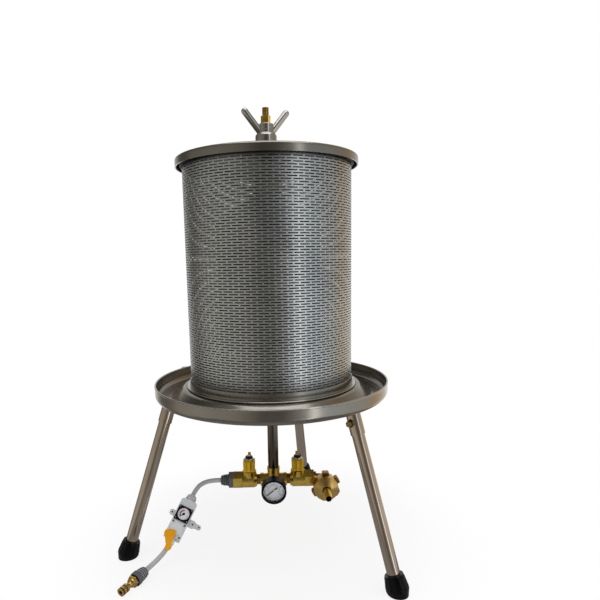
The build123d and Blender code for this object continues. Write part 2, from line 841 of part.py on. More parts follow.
def make_handle(side):
    """Butterfly handle: a barrel hub over the packing nut, with two raised wings across the flow."""
    lean = handle_hub_height * math.tan(math.radians(handle_hub_taper))
    foot = RectangleRounded(handle_hub_width - 2 * lean, handle_hub_length - 2 * lean, handle_hub_round)
    hub = extrude(foot, handle_hub_height, taper=-handle_hub_taper)
    hub = fillet(hub.faces().sort_by(Axis.Z)[-1].edges(), handle_hub_round)
    outline = Polyline(
        (wing_plate_root, wing_plate_low),
        (wing_plate_reach - wing_plate_round, wing_plate_low + wing_plate_round),
        (wing_plate_reach, wing_plate_rise),
        (wing_plate_reach - 2 * wing_plate_round, wing_plate_rise),
        (wing_plate_root, handle_hub_height - handle_hub_round),
        close=True,
    )
    plate = make_face(outline)
    plate = fillet(plate.vertices().group_by(Axis.X)[-1], wing_plate_round - rest_gap)
    wing = extrude(Plane.YZ * plate, wing_plate_thickness / 2, both=True)
    solid = hub + wing + Rot(0, 0, 180) * wing - disc(stem_radius + thread_gap, 0, handle_hub_height)
    solid -= disc(packing_radius + rest_gap, 0, packing_height)
    return stem_place(side) * Pos(0, 0, handle_low) * solid


def make_handle_nut(side):
    nut = hex_bar(handle_nut_flats, handle_high, handle_high + handle_nut_height)
    nut -= disc(stem_screw_radius + thread_gap, handle_high, handle_high + handle_nut_height)
    return stem_place(side) * nut


# Pressure gauge

dial_front = gauge_front - gauge_face_recess + dial_thickness
lens_far = gauge_front - gauge_lip_depth


def make_gauge_adapter():
    body = hex_bar(gauge_adapter_flats, tee_boss_length, gauge_back)
    body += disc(gauge_thread_radius, tee_boss_length - gauge_thread_length, tee_boss_length)
    return front_place(0) * body


def make_gauge_case():
    """Round case with a tapered back, a dial recess and a lip in front of the lens."""
    floor = gauge_front - gauge_face_recess
    case = turned(
        (0, gauge_back),
        (gauge_back_radius, gauge_back),
        (gauge_radius, gauge_back + gauge_back_taper),
        (gauge_radius, gauge_front),
        (gauge_face_radius - gauge_lip, gauge_front),
        (gauge_face_radius - gauge_lip, lens_far),
        (gauge_face_radius, lens_far),
        (gauge_face_radius, floor),
        (0, floor),
    )
    return front_place(0) * (case - disc(spindle_radius + pivot_gap, floor - spindle_depth, floor))


def make_gauge_dial():
    floor = gauge_front - gauge_face_recess
    plate = tube(gauge_face_radius - thread_gap, spindle_radius + pivot_gap, floor, dial_front)
    return front_place(0) * plate


def pointer(length, tail):
    """Flat tapered pointer along +X, with its hub centred on the Z axis."""
    half = needle_width / 2
    outline = Polyline((-tail, -half), (-tail, half), (length, 0), close=True)
    return extrude(make_face(outline), needle_thickness) + disc(needle_hub_radius, 0, needle_thickness)


def make_gauge_needle():
    """Needle on a spindle that turns in the dial and the case."""
    hand = pointer(needle_length, needle_tail)
    low = dial_front + needle_lift
    spindle = disc(spindle_radius, gauge_front - gauge_face_recess - spindle_depth + rest_gap, low)
    return front_place(0) * (Rot(0, 0, needle_zero) * Pos(0, 0, low) * hand + spindle)


def make_gauge_lens():
    return front_place(0) * disc(gauge_face_radius - thread_gap, lens_far - lens_thickness, lens_far)


# Drain outlet

def make_drain_elbow():
    """Bent elbow from the valve's end cap to the union thread in front."""
    start = valve_far - nipple_thread_length
    corner = (drain_x, 0)
    path = FilletPolyline((start, 0), corner, (drain_x, -drain_thread_far), radius=[drain_elbow_bend])
    path = Pos(0, 0, manifold_height) * path
    end = Plane((start, 0, manifold_height), x_dir=(0, 1, 0), z_dir=(1, 0, 0))
    body = sweep(end * Circle(nipple_thread_radius), path)
    collar = hex_bar(drain_collar_flats, valve_far, valve_far + drain_collar_length)
    thread = disc(drain_thread_radius, drain_thread_near, drain_thread_far)
    body += flow_place(1) * collar + front_place(drain_x) * thread
    return body - sweep(end * Circle(waterway_radius - thread_gap), path)


def make_union_nut():
    """Domed union nut with lugs round its back edge, loose on the hose tail."""
    bore = drain_thread_radius + rest_gap
    shell = turned(
        (bore, union_near),
        (union_radius, union_near),
        (union_radius, union_shoulder),
        (union_radius - union_wall / 2, union_shoulder + union_wall),
        (union_face_radius + union_wall, union_far - union_wall / 4),
        (tail_radius + tail_barb_rise + rest_gap, union_far),
        (tail_radius + tail_barb_rise + rest_gap, union_far - union_web),
        (bore, union_far - union_web),
    )
    lug = Box(2 * lug_radius, lug_width, lug_length, align=STANDING)
    lug = fillet(lug.edges().filter_by(Axis.Z), lug_round)
    lugs = [Rot(0, 0, lug_turn + index * 360 / lug_count) * lug for index in range(lug_count // 2)]
    crown = Pos(0, 0, union_near) * (lugs[0] + lugs[1] + lugs[2])
    return front_place(drain_x) * (shell + (crown - disc(union_radius - union_wall, union_near, union_far)))


def make_hose_tail():
    """Collar behind the union nut's wall, with a barbed tail through it."""
    seat = union_far - union_web - rest_gap
    barbs = []
    for index in range(tail_barb_count):
        end = tail_end - index * tail_barb_length
        barbs.append((tail_radius - tail_barb_rise, end))
        barbs.append((tail_radius + tail_barb_rise, end - tail_barb_length + rest_gap))
        barbs.append((tail_radius, end - tail_barb_length))
    outline = [(tail_bore_radius, drain_thread_far), (tail_bore_radius, tail_end), *barbs]
    outline += [(tail_radius, seat), (tail_collar_radius, seat), (tail_collar_radius, drain_thread_far)]
    return front_place(drain_x) * turned(*outline)


# Hose, glands and tap connector

def ribbed_dome(low, high, wide, narrow):
    """Domed grip of a gland with grooves between its ribs."""
    step = (high - low) / gland_rib_count

    def dome(height):
        return narrow + (wide - narrow) * math.sqrt(1 - ((height - low) / (high - low)) ** 2)

    points = [(0, low), (wide, low)]
    for index in range(1, gland_rib_count):
        middle = low + step * index
        near = middle - gland_groove_width / 2
        far = middle + gland_groove_width / 2
        bottom = dome(middle) - gland_groove_depth
        points += [(dome(near), near), (bottom, near), (bottom, far), (dome(far), far)]
    points += [(dome(high - step / 2), high - step / 2), (narrow, high), (0, high)]
    return turned(*points)


def make_inlet_gland():
    flange_far = valve_far + gland_flange_length
    gland = hex_bar(gland_flange_flats, valve_far, flange_far)
    gland += disc(gland_spigot_radius, valve_far - gland_spigot_length, valve_far)
    gland += ribbed_dome(flange_far, gland_mouth, gland_dome_radius, gland_mouth_radius)
    return flow_place(-1) * gland


def hose_path(route):
    """Straight runs of a hose route joined by the largest bends that its runs allow, and the radii."""
    points = [Vector(*point) for point in route]
    radii = []
    for before, corner, after in zip(points, points[1:], points[2:]):
        turn = math.radians((corner - before).get_angle(after - corner))
        run = min((corner - before).length, (after - corner).length)
        radii.append(hose_bend_share * run / math.tan(turn / 2))
    return FilletPolyline(*points, radius=radii), radii


def make_hose(name, route):
    path, radii = hose_path(route)
    start = Plane(route[0], z_dir=Vector(*route[1]) - Vector(*route[0]))
    hose = sweep(start * Circle(hose_radius), path)
    share = hose.volume / (math.pi * hose_radius ** 2 * path.length)
    print(name, "radii", [round(radius, 1) for radius in radii], "length", round(path.length, 1),
          "volume share", round(share, 4))
    return hose


def connector_place():
    """Frame at the end of the lower hose with Z running on along the connector."""
    end = Vector(*lower_route[-1])
    return Plane(end, x_dir=(0, 0, 1), z_dir=end - Vector(*lower_route[-2])).location


connector_flange_far = connector_gland_dome + connector_gland_flange
flat_down = Rot(0, 0, 30)  # turns a flat of the connector's hexagons to the floor


def make_connector_gland():
    grip = ribbed_dome(0, connector_gland_dome, connector_dome_radius, connector_mouth_radius)
    grip = Pos(0, 0, connector_gland_dome) * Rot(180, 0, 0) * grip
    flange = flat_down * hex_bar(connector_flange_flats, connector_gland_dome, connector_flange_far)
    return connector_place() * (grip + flange)


def connector_lengths():
    """Heights of the connector's steps, from the gland's flange to its nose."""
    heights = [connector_flange_far]
    for length in (connector_hex_length, connector_bell_length, connector_neck_length, connector_shoulder_length,
                   connector_groove_length, connector_nose_length):
        heights.append(heights[-1] + length)
    return heights


def seal_height():
    return connector_lengths()[-1] - connector_seal_inset


def make_quick_connector():
    """Male tap connector: hexagon, bell, neck, catch shoulder, groove and a nose with a seat for its seal."""
    flange, hex_far, bell_far, neck_far, shoulder_far, groove_far, nose_far = connector_lengths()
    seal_floor = connector_nose_radius - 2 * connector_seal_radius
    bell_step = (connector_hex_flats / 2 - connector_neck_radius) / 4
    body = flat_down * hex_bar(connector_hex_flats, flange, hex_far)
    body += turned(
        (0, hex_far),
        (connector_hex_flats / 2 - bell_step / 2, hex_far),
        (connector_hex_flats / 2 - bell_step, hex_far + connector_bell_length / 3),
        (connector_neck_radius + bell_step, hex_far + 2 * connector_bell_length / 3),
        (connector_neck_radius, bell_far),
        (connector_neck_radius, neck_far),
        (connector_shoulder_radius, neck_far + connector_ramp),
        (connector_shoulder_radius, shoulder_far),
        (connector_groove_radius, shoulder_far),
        (connector_groove_radius, groove_far),
        (connector_nose_radius, groove_far),
        (connector_nose_radius, seal_height() - connector_seal_radius),
        (seal_floor, seal_height() - connector_seal_radius),
        (seal_floor, seal_height() + connector_seal_radius),
        (connector_nose_radius, seal_height() + connector_seal_radius),
        (connector_nose_radius, nose_far),
        (0, nose_far),
    )
    return connector_place() * (body - disc(connector_bore_radius, flange, nose_far))


def make_connector_seal():
    ring = Torus(connector_nose_radius - connector_seal_radius, connector_seal_radius - thread_gap)
    return connector_place() * Pos(0, 0, seal_height()) * ring


# Regulator

def regulator_place():
    """Frame at the end of the upper hose: Z down the body, Y out of its face and X to the right."""
    start = Vector(*upper_route[-1])
    length = (Vector(*lower_route[0]) - start).normalized()
    facing = Vector(*regulator_facing)
    face = (facing - length * facing.dot(length)).normalized()
    return Plane(start, x_dir=face.cross(length), z_dir=length).location


regulator_span = (Vector(*lower_route[0]) - Vector(*upper_route[-1])).length
body_low = regulator_union_length
body_high = regulator_span - regulator_outlet_length
face_height = regulator_depth / 2
frame_middle = body_low + frame_inset + frame_height / 2
cover_high = body_high - rest_gap
cover_low = cover_high - cover_height
cover_middle = (cover_low + cover_high) / 2
cover_face = face_height + cover_thickness
lever_height = cover_face + lever_lift
lever_z = body_low + lever_place


def on_face(x, z, y):
    """Frame on the regulator's face with its own Z along the face's normal."""
    return Plane((x, y, z), x_dir=(1, 0, 0), z_dir=(0, 1, 0)).location


def make_regulator_union():
    """Union nut that draws the hose into the top of the body."""
    nut = ribbed_dome(0, regulator_union_length, regulator_union_radius, gland_mouth_radius)
    return regulator_place() * Pos(0, 0, regulator_union_length) * Rot(180, 0, 0) * nut


def ear(side, reach, half, root):
    """Rounded mounting ear with a hole, at one height on a side of the body."""
    edge = side * (regulator_width / 2 - regulator_round)
    strip = Pos((edge + side * reach) / 2, 0) * Rectangle(abs(side * reach - edge), 2 * half)
    outline = strip + Pos(side * reach, 0) * Circle(half)
    plate = extrude(outline - Pos(side * reach, 0) * Circle(ear_hole_radius), ear_thickness)
    return on_face(0, root, -face_height + regulator_round) * plate


def make_regulator_body():
    """Moulded body with cut upper corners, mounting ears and a spigot for the lower hose."""
    length = body_high - body_low
    block = Pos(0, 0, body_low) * Box(regulator_width, regulator_depth, length, align=STANDING)
    top = block.edges().filter_by(Axis.Y).group_by(Axis.Z)[0]
    block = chamfer(top, regulator_corner)
    block = fillet(block.edges().filter_by(Axis.Z), regulator_round)
    block += disc(regulator_outlet_radius, body_high, regulator_span)
    block += ear(-1, left_ear_reach, left_ear_half, body_low + left_ear_place)
    for reach, half in zip(right_ear_reaches, right_ear_halves):
        block += ear(1, reach, half, body_low + right_ear_place)
    outer_hole = Circle(ear_hole_radius)
    for reach in right_ear_reaches:
        hole = on_face(reach, body_low + right_ear_place, -regulator_depth)
        block -= hole * extrude(outer_hole, regulator_depth)
    pin = on_face(lever_side, lever_z, face_height - lever_pin_depth)
    block -= pin * disc(lever_pin_radius + pivot_gap, 0, regulator_depth)
    spindle = on_face(0, frame_middle, face_height - spindle_depth)
    block -= spindle * disc(spindle_radius + pivot_gap, 0, regulator_depth)
    return regulator_place() * block


def make_regulator_frame():
    """Square gauge frame with a round window."""
    plate = Box(frame_width, frame_height, frame_thickness, align=STANDING)
    plate -= disc(frame_dial_radius + thread_gap, 0, frame_thickness)
    return regulator_place() * on_face(0, frame_middle, face_height) * plate


def make_regulator_dial():
    plate = tube(frame_dial_radius, spindle_radius + pivot_gap, 0, frame_thickness - frame_dial_recess)
    return regulator_place() * on_face(0, frame_middle, face_height) * plate


def make_regulator_needle():
    low = frame_thickness - frame_dial_recess + rest_gap
    hand = pointer(frame_needle_length, frame_needle_tail)
    spindle = disc(spindle_radius, rest_gap - spindle_depth, low)
    solid = Rot(0, 0, frame_needle_angle) * Pos(0, 0, low) * hand + spindle
    return regulator_place() * on_face(0, frame_middle, face_height) * solid


def screw_places():
    side = cover_width / 2 - cover_screw_inset
    rise = cover_height / 2 - cover_screw_inset
    return [(x, cover_middle + z) for x in (-side, side) for z in (-rise, rise)]


def make_regulator_cover():
    """Cover plate with a round boss, drilled for the lever's pin."""
    plate = Box(cover_width, cover_height, cover_thickness, align=STANDING)
    boss = disc(cover_boss_radius, cover_thickness, cover_thickness + cover_boss_height)
    solid = on_face(0, cover_middle, face_height) * (plate + boss)
    hole = disc(lever_pin_radius + pivot_gap, 0, regulator_depth)
    return regulator_place() * (solid - on_face(lever_side, lever_z, 0) * hole)


def make_regulator_screws():
    head = disc(cover_screw_radius, cover_thickness, cover_thickness + cover_screw_head)
    return group([regulator_place() * on_face(x, z, face_height) * head for x, z in screw_places()])


def make_regulator_lever():
    """Lever on a pin: a shield-shaped head drawn in to a waist, and a round tip."""
    head = lever_head_width / 2
    waist = lever_waist_width / 2
    outline = Polyline(
        (-head, lever_head_rise / 4),
        (-head + lever_head_round, lever_head_rise),
        (head - lever_head_round, lever_head_rise),
        (head, lever_head_rise / 4),
        (waist, -lever_waist_place),
        (waist, -lever_length),
        (-waist, -lever_length),
        (-waist, -lever_waist_place),
        close=True,
    )
    shield = make_face(outline)
    shield = fillet(shield.vertices().group_by(Axis.Y)[-1], lever_head_round)
    plate = extrude(shield + Pos(0, -lever_length) * Circle(lever_tip_radius), lever_thickness)
    pin = disc(lever_pin_radius, rest_gap - lever_pin_depth - cover_thickness - lever_lift, 0)
    turn = Rot(0, 0, lever_turn)
    return regulator_place() * on_face(lever_side, lever_z, lever_height) * turn * (plate + pin)


# Build every piece and write it under its own name
tray = make_tray()
nodes = {
    "juice_tray": tray,
    "juice_spout": make_spout(tray),
    "leg_sockets": make_leg_sockets(),
    "leg_tubes": make_leg_tubes(),
    "rubber_feet": make_feet(),
    "clamp_nuts": make_clamp_nuts(),
    "clamp_bolts": make_clamp_bolts(),
    "centre_column": make_column(),
    "column_lock_nut": make_lock_nut(),
    "bladder": make_bladder(),
    "bladder_clamps": make_bladder_clamps(),
    "bladder_nut": make_bladder_nut(),
    "press_cage": make_cage(),
    "cage_foot_ring": make_foot_ring(),
    "cage_top_rim": make_top_rim(),
    "press_lid": make_lid(),
    "lid_gasket": make_gasket(),
    "thrust_washer": make_washer(),
    "clamping_nut": make_nut(),
    "wing_rods": make_wings(),
    "bleed_valve": make_bleed_valve(),
    "bleed_cap": make_bleed_cap(),
    "feed_socket": make_feed_socket(),
    "feed_pipe": make_feed_pipe(),
    "brass_tee": make_tee(),
    "hex_nipples": make_nipples(),
    "valve_end_caps": make_end_caps(),
    "packing_nuts": make_packing_nuts(),
    "gauge_adapter": make_gauge_adapter(),
    "gauge_case": make_gauge_case(),
    "gauge_dial": make_gauge_dial(),
    "gauge_needle": make_gauge_needle(),
    "gauge_lens": make_gauge_lens(),
    "drain_elbow": make_drain_elbow(),
    "union_nut": make_union_nut(),
    "hose_tail": make_hose_tail(),
    "inlet_gland": make_inlet_gland(),
    "upper_hose": make_hose("upper hose", upper_route),
    "lower_hose": make_hose("lower hose", lower_route),
    "connector_gland": make_connector_gland(),
    "quick_connector": make_quick_connector(),
    "connector_seal": make_connector_seal(),
    "regulator_union": make_regulator_union(),
    "regulator_body": make_regulator_body(),
    "regulator_frame": make_regulator_frame(),
    "regulator_dial": make_regulator_dial(),
    "regulator_needle": make_regulator_needle(),
    "regulator_cover": make_regulator_cover(),
    "regulator_screws": make_regulator_screws(),
    "regulator_lever": make_regulator_lever(),
}
for valve, side in (("inlet", -1), ("drain", 1)):
    nodes[valve + "_valve_body"] = make_valve_body(side)
    nodes[valve + "_ball"] = make_ball(side)
    nodes[valve + "_stem"] = make_stem(side)
    nodes[valve + "_handle"] = make_handle(side)
    nodes[valve + "_handle_nut"] = make_handle_nut(side)

os.makedirs("parts", exist_ok=True)
for name, piece in nodes.items():
    export_step(piece, os.path.join("parts", name + ".step"))
print(len(nodes), "nodes written")
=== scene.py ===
from math import cos, pi, radians, sin, sqrt, tan, tau

import bmesh
import bpy
from mathutils import Matrix, Vector


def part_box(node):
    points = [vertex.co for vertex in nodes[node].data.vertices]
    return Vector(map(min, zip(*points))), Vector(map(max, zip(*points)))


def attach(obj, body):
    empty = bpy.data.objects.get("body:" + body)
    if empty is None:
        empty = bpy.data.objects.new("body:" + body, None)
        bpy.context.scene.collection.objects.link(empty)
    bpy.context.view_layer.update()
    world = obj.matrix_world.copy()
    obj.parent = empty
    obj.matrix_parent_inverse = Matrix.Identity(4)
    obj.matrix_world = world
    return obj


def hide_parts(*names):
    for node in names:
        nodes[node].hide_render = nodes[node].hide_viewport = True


bl_info = {
    "name": "Bladder fruit press",
    "version": (1, 0, 0),
    "blender": (4, 5, 0),
    "location": "3D View > Sidebar > Press",
    "description": "Finishes, fine pieces and studio for a water-driven bladder fruit press",
    "category": "Object",
}

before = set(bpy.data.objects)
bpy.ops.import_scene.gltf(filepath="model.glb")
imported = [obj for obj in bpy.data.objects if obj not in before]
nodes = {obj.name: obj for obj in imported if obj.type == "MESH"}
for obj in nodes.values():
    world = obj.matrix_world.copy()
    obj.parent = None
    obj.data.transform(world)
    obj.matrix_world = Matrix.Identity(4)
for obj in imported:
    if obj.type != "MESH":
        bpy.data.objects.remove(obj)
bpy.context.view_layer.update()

MM = 0.001
WHITE = (1.0, 1.0, 1.0, 1.0)

# Hose routes, the same points as the solids follow, in metres
UPPER_ROUTE = [
    (-0.118, 0.0, 0.130),
    (-0.137, 0.0, 0.130),
    (-0.1565, -0.0067, 0.1281),
    (-0.17106, -0.01807, 0.120924),
    (-0.1782, -0.0310, 0.1090),
]
LOWER_ROUTE = [
    (-0.2195, -0.1058, 0.04003),
    (-0.22401, -0.113967, 0.032499),
    (-0.2363, -0.1299, 0.0228),
    (-0.24912, -0.14479, 0.016562),
    (-0.2572, -0.1591, 0.0151),
]
REGULATOR_FACING = (0.16, -0.87, 0.46)
MANIFOLD_HEIGHT = 0.130
LEG_COUNT = 3
LEG_AZIMUTH = 74.4
LEG_SPLAY = radians(18.0)
LEG_CIRCLE = 0.2171

# Print on a dial stands between these heights above it, in millimetres
PRINT_LOW = 0.01
PRINT_HIGH = 0.05


def linear(code):
    """Linear colour with alpha from an sRGB hex value."""
    parts = [int(code[i:i + 2], 16) / 255 for i in (1, 3, 5)]
    return tuple(p / 12.92 if p <= 0.04045 else ((p + 0.055) / 1.055) ** 2.4 for p in parts) + (1.0,)


# Walls of the studio as shares of a turn, from behind the camera round by the left, the back and the right
STUDIO_WALLS = [
    (0.000, "#68655f"), (1.000, "#68655f"), (0.025, "#68655f"), (0.055, "#8b8780"), (0.100, "#a6a29b"),
    (0.200, "#b1aea6"), (0.280, "#a6a299"), (0.320, "#6e6a64"), (0.370, "#77736d"), (0.420, "#e6e5e2"),
    (0.500, "#ffffff"), (0.580, "#faf6f0"), (0.645, "#d8cdbd"), (0.675, "#d6b27c"), (0.705, "#c2bbb0"),
    (0.780, "#c6c8c8"), (0.860, "#cdd2d5"), (0.876, "#d0d5d8"), (0.904, "#b9bcbd"), (0.945, "#8f8d88"),
    (0.975, "#68655f"),
]

# A tall window in that wall, right of the camera: its edges, and its level with white as 1
STUDIO_WINDOW = [(0.881, 1.9), (0.899, 1.9)]


# Sizes and colours that a user would change

def amount(name, about, value, **kind):
    """Number in a property group."""
    return bpy.props.FloatProperty(name=name, description=about, default=value, **kind)


def length(name, about, value):
    """Length in a property group, in metres."""
    return amount(name, about, value, unit="LENGTH")


def tilt(name, about, value):
    """Angle in a property group, in radians."""
    return amount(name, about, value, subtype="ANGLE")


def tint(name, about, code):
    """Colour in a property group, from an sRGB hex value."""
    return bpy.props.FloatVectorProperty(
        name=name, description=about, subtype="COLOR", size=4, default=linear(code), min=0, max=1)


class PressCageSizes(bpy.types.PropertyGroup):
    """Slots of the cage's sheet."""
    slot_length: length("Slot length", "Length of one slot round the cage", 0.0190)
    slot_height: length("Slot height", "Height of one slot on the outside", 0.0022)
    slot_draft: length("Slot draft", "How far each long side of a slot comes in on the inside", 0.00072)
    row_pitch: length("Row pitch", "Height from one row of slots to the next", 0.00493)
    columns: bpy.props.IntProperty(name="Slots per row", description="Slots in one turn", default=48)
    sheet: length("Sheet", "Thickness of the cage's sheet", 0.0015)
    low_band: length("Lower band", "Plain sheet below the slots", 0.0145)
    high_band: length("Upper band", "Plain sheet above the slots", 0.0065)


class PressSoftSizes(bpy.types.PropertyGroup):
    """Hose, bladder and the rod's thread."""
    hose_diameter: length("Hose", "Outer diameter of the hose", 0.010)
    bladder_folds: bpy.props.IntProperty(name="Folds", description="Slack folds round the bladder", default=9)
    fold_depth: length("Fold depth", "Depth of the bladder's folds", 0.012)
    thread_pitch: length("Thread pitch", "Pitch of the clamping rod's thread", 0.005)


class PressColours(bpy.types.PropertyGroup):
    """Main colours of the finishes."""
    steel: tint("Steel", "Mid tone of the satin stainless steel", "#97928a")
    brass: tint("Brass", "Mid tone of the cast brass", "#ffd468")
    handle: tint("Handle", "Powder coat of the valve handles", "#d0a60a")
    lever: tint("Lever", "Plastic of the regulator's lever", "#eda404")
    regulator: tint("Regulator", "Plastic of the regulator's body", "#e2e4e7")


class PressStage(bpy.types.PropertyGroup):
    """Camera and light."""
    lens: amount("Lens", "Focal length on a 36 mm sensor, in millimetres", 31.56)
    distance: length("Camera distance", "From the press axis to the camera", 1.1197)
    height: length("Camera height", "Camera above the floor", 0.6210)
    pitch: tilt("Camera pitch", "Tilt below level", 0.15366)
    roll: tilt("Camera roll", "Roll of the camera", -0.02032)
    yaw: tilt("Camera yaw", "Turn of the camera to the right", 0.01371)
    ambient: amount("Ambient", "Light of the surroundings on matt surfaces", 0.62)
    room: amount("Room", "Brightness of the studio as metal mirrors it", 1.0)


# Node helpers

def node(tree, kind, inputs=None, ramp=(), **fields):
    """Adds one shader node; an input takes a value, or is linked to a socket or a node's first output."""
    made = tree.nodes.new("ShaderNode" + kind)
    for name, value in fields.items():
        setattr(made, name, value)
    for name, value in (inputs or {}).items():
        if isinstance(value, bpy.types.Node):
            value = value.outputs[0]
        if isinstance(value, bpy.types.NodeSocket):
            tree.links.new(value, made.inputs[name])
        else:
            made.inputs[name].default_value = value
    for index, (place, colour) in enumerate(ramp):
        stops = made.color_ramp.elements
        stop = stops[index] if index < 2 else stops.new(place)
        stop.position = place
        stop.color = colour
    return made


def calc(tree, operation, *values):
    """Node that works out a number from up to three."""
    return node(tree, "Math", dict(enumerate(values)), operation=operation)


def blank(data):
    """Empty node tree of a new material or world."""
    data.use_nodes = True
    data.node_tree.nodes.clear()
    return data.node_tree


def seen_plainly(tree, path):
    """One for rays from the eye, also through glass, and zero for others."""
    return calc(tree, "MAXIMUM", path["Is Camera Ray"], path["Is Transmission Ray"])


def shaded(colour, share):
    """Colour scaled in brightness."""
    return tuple(min(1.0, part * share) for part in colour[:3]) + (1.0,)


def relief(tree, height, depth, edge):
    """Normals with relief of a given depth, on edges rounded by a given radius where there is one."""
    inputs = {"Distance": depth, "Strength": 1.0, "Height": height}
    if edge:
        inputs["Normal"] = node(tree, "Bevel", {"Radius": edge}, samples=4)
    return node(tree, "Bump", inputs)


def soiled(tree, colour, shade_and_dirt, reach):
    """Colour that goes over to a dark one in corners, within a given reach of the next surface: painted
    shade, and dirt where the piece has it.
    """
    corner = node(tree, "AmbientOcclusion", {"Distance": reach}, samples=8).outputs["AO"]
    open_share = node(tree, "MapRange", {"From Min": 0.35, "From Max": 0.80, "Value": corner})
    return node(tree, "Mix", {0: open_share, 6: linear(shade_and_dirt), 7: colour}, data_type="RGBA").outputs[2]


def coat(name, colour, grain, depth, rough, spread=0.25, edge=0.4, patch=30, share=0.4, clouds=(4.0, 0.6),
         lines=None, shade_and_dirt=None, reach=5, worn="", **values):
    """Finish with a fine grain over uneven patches, which tone and roughness follow, and painted shade with
    dirt in corners.

    Sizes are in millimetres and colours sRGB hex values or a property. Worn names the solids that get the
    finish, and the other values go to the shader's own sockets.
    """
    colour = linear(colour) if isinstance(colour, str) else tuple(colour)
    material = bpy.data.materials.new(name)
    for solid in worn.split():
        nodes[solid].material_slots[0].material = material
    tree = blank(material)
    # Object coordinates are metres in the press's own frame
    coords = node(tree, "TexCoord").outputs["Object"]
    drawn_out = lines(tree, coords) if lines else coords
    fine = node(tree, "TexNoise", {"Vector": drawn_out, "Scale": 1 / (grain * MM), "Detail": 3.0})
    wide = node(tree, "TexNoise", {
        "Vector": coords, "Scale": 1 / (patch * MM), "Detail": clouds[0], "Roughness": clouds[1]})
    both = calc(tree, "MULTIPLY_ADD", wide, 1 - share, calc(tree, "MULTIPLY", fine, share))
    # Noise seldom leaves these limits
    low, high = 0.30, 0.70
    tone = node(tree, "ValToRGB", {"Fac": both}, ramp=[
        (low, shaded(colour, 1 - spread)), (high, shaded(colour, 1 + spread)), (0.50, colour)])
    dull = node(tree, "MapRange", {
        "Value": both, "From Min": low, "From Max": high, "To Min": rough[0], "To Max": rough[1]})
    # The base colour may go dark in corners: painted shade, with some dirt
    shader = node(tree, "BsdfPrincipled", {
        "Base Color": soiled(tree, tone, shade_and_dirt, reach * MM) if shade_and_dirt else tone, "Roughness": dull,
        "Normal": relief(tree, fine, depth * MM, edge * MM),
        **{key.replace("_", " "): value for key, value in values.items()}})
    node(tree, "OutputMaterial", {"Surface": shader})


def satin_steel(name, colour, lines, rough, grain=0.7, depth=0.012, spread=0.16, edge=0.5, share=0.35,
                brushed=0.0, shade_and_dirt=None, worn=""):
    """Satin stainless steel: polishing lines over a cloudy rolled tone, darkened by painted shade with dirt
    where it meets other pieces.
    """
    # Polishing lines are about 0.05 mm apart on the real steel, drawn coarser so that they show
    coat(name, colour, grain, depth, rough, spread, edge, patch=60, share=share, clouds=(3.0, 0.5),
         lines=lines, shade_and_dirt=shade_and_dirt, reach=26, worn=worn, Metallic=1.0, Anisotropic=brushed)


def from_axis(tree, coords):
    """Distance from the press axis."""
    level = node(tree, "VectorMath", {0: coords, 1: (1, 1, 0)}, operation="MULTIPLY")
    return node(tree, "VectorMath", {0: level}, operation="LENGTH").outputs["Value"]


def lines_round(tree, coords):
    """Coordinates that stay the same round the press axis, for polishing in rings."""
    height = node(tree, "SeparateXYZ", {0: coords}).outputs["Z"]
    return node(tree, "CombineXYZ", {0: from_axis(tree, coords), 1: height})


def lines_upright(tree, coords):
    """Coordinates drawn out along Z, for grinding along upright pieces."""
    return node(tree, "Mapping", {"Vector": coords, "Scale": (1, 1, 0.03)})


def lines_along_legs(tree, coords):
    """Coordinates drawn out along the splayed legs."""
    reach = from_axis(tree, coords)
    split = node(tree, "SeparateXYZ", {0: coords}).outputs
    bearing = calc(tree, "ARCTAN2", split["Y"], split["X"])
    from_leg = calc(tree, "MULTIPLY_ADD", bearing, LEG_COUNT, -LEG_COUNT * radians(LEG_AZIMUTH))
    across = calc(tree, "MULTIPLY", calc(tree, "SINE", from_leg), reach)
    outward = calc(tree, "MULTIPLY_ADD", split["Z"], tan(LEG_SPLAY), reach)
    own = node(tree, "CombineXYZ", {0: outward, 1: across, 2: split["Z"]})
    return node(tree, "Mapping", {"Vector": own, "Scale": (1, 1 / LEG_COUNT, 0.02)})


# Mesh helpers

def placed(name, data):
    """Object with the given data, in the scene."""
    made = bpy.data.objects.new(name, data)
    bpy.context.scene.collection.objects.link(made)
    return made


def worked(mesh, material, smooth=True, join=False, crisp=False):
    """Gives a mesh its finish; may join doubled points, and keep edges of over 35 degrees crisp."""
    work = bmesh.new()
    work.from_mesh(mesh)
    if join:
        near = 0.001 * MM
        bmesh.ops.remove_doubles(work, verts=work.verts, dist=near)
        bmesh.ops.dissolve_degenerate(work, dist=near, edges=work.edges)
        bmesh.ops.delete(work, geom=[edge for edge in work.edges if not edge.link_faces], context="EDGES")
    bmesh.ops.recalc_face_normals(work, faces=work.faces)
    for edge in work.edges if crisp else ():
        edge.smooth = edge.calc_face_angle(0) < radians(35)
    work.to_mesh(mesh)
    work.free()
    mesh.polygons.foreach_set("use_smooth", [smooth] * len(mesh.polygons))
    mesh.materials.clear()
    mesh.materials.append(bpy.data.materials[material])


def mesh_object(name, points, faces, material, **ways):
    """Object from points in metres, worked in the given ways."""
    mesh = bpy.data.meshes.new(name)
    mesh.from_pydata([tuple(point) for point in points], [], faces)
    worked(mesh, material, **ways)
    return placed(name, mesh)


def settle(piece, body, slot, *replaced):
    """Puts a piece on its body and hides the solids that it stands for."""
    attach(piece, body)
    if replaced:
        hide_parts(*replaced)


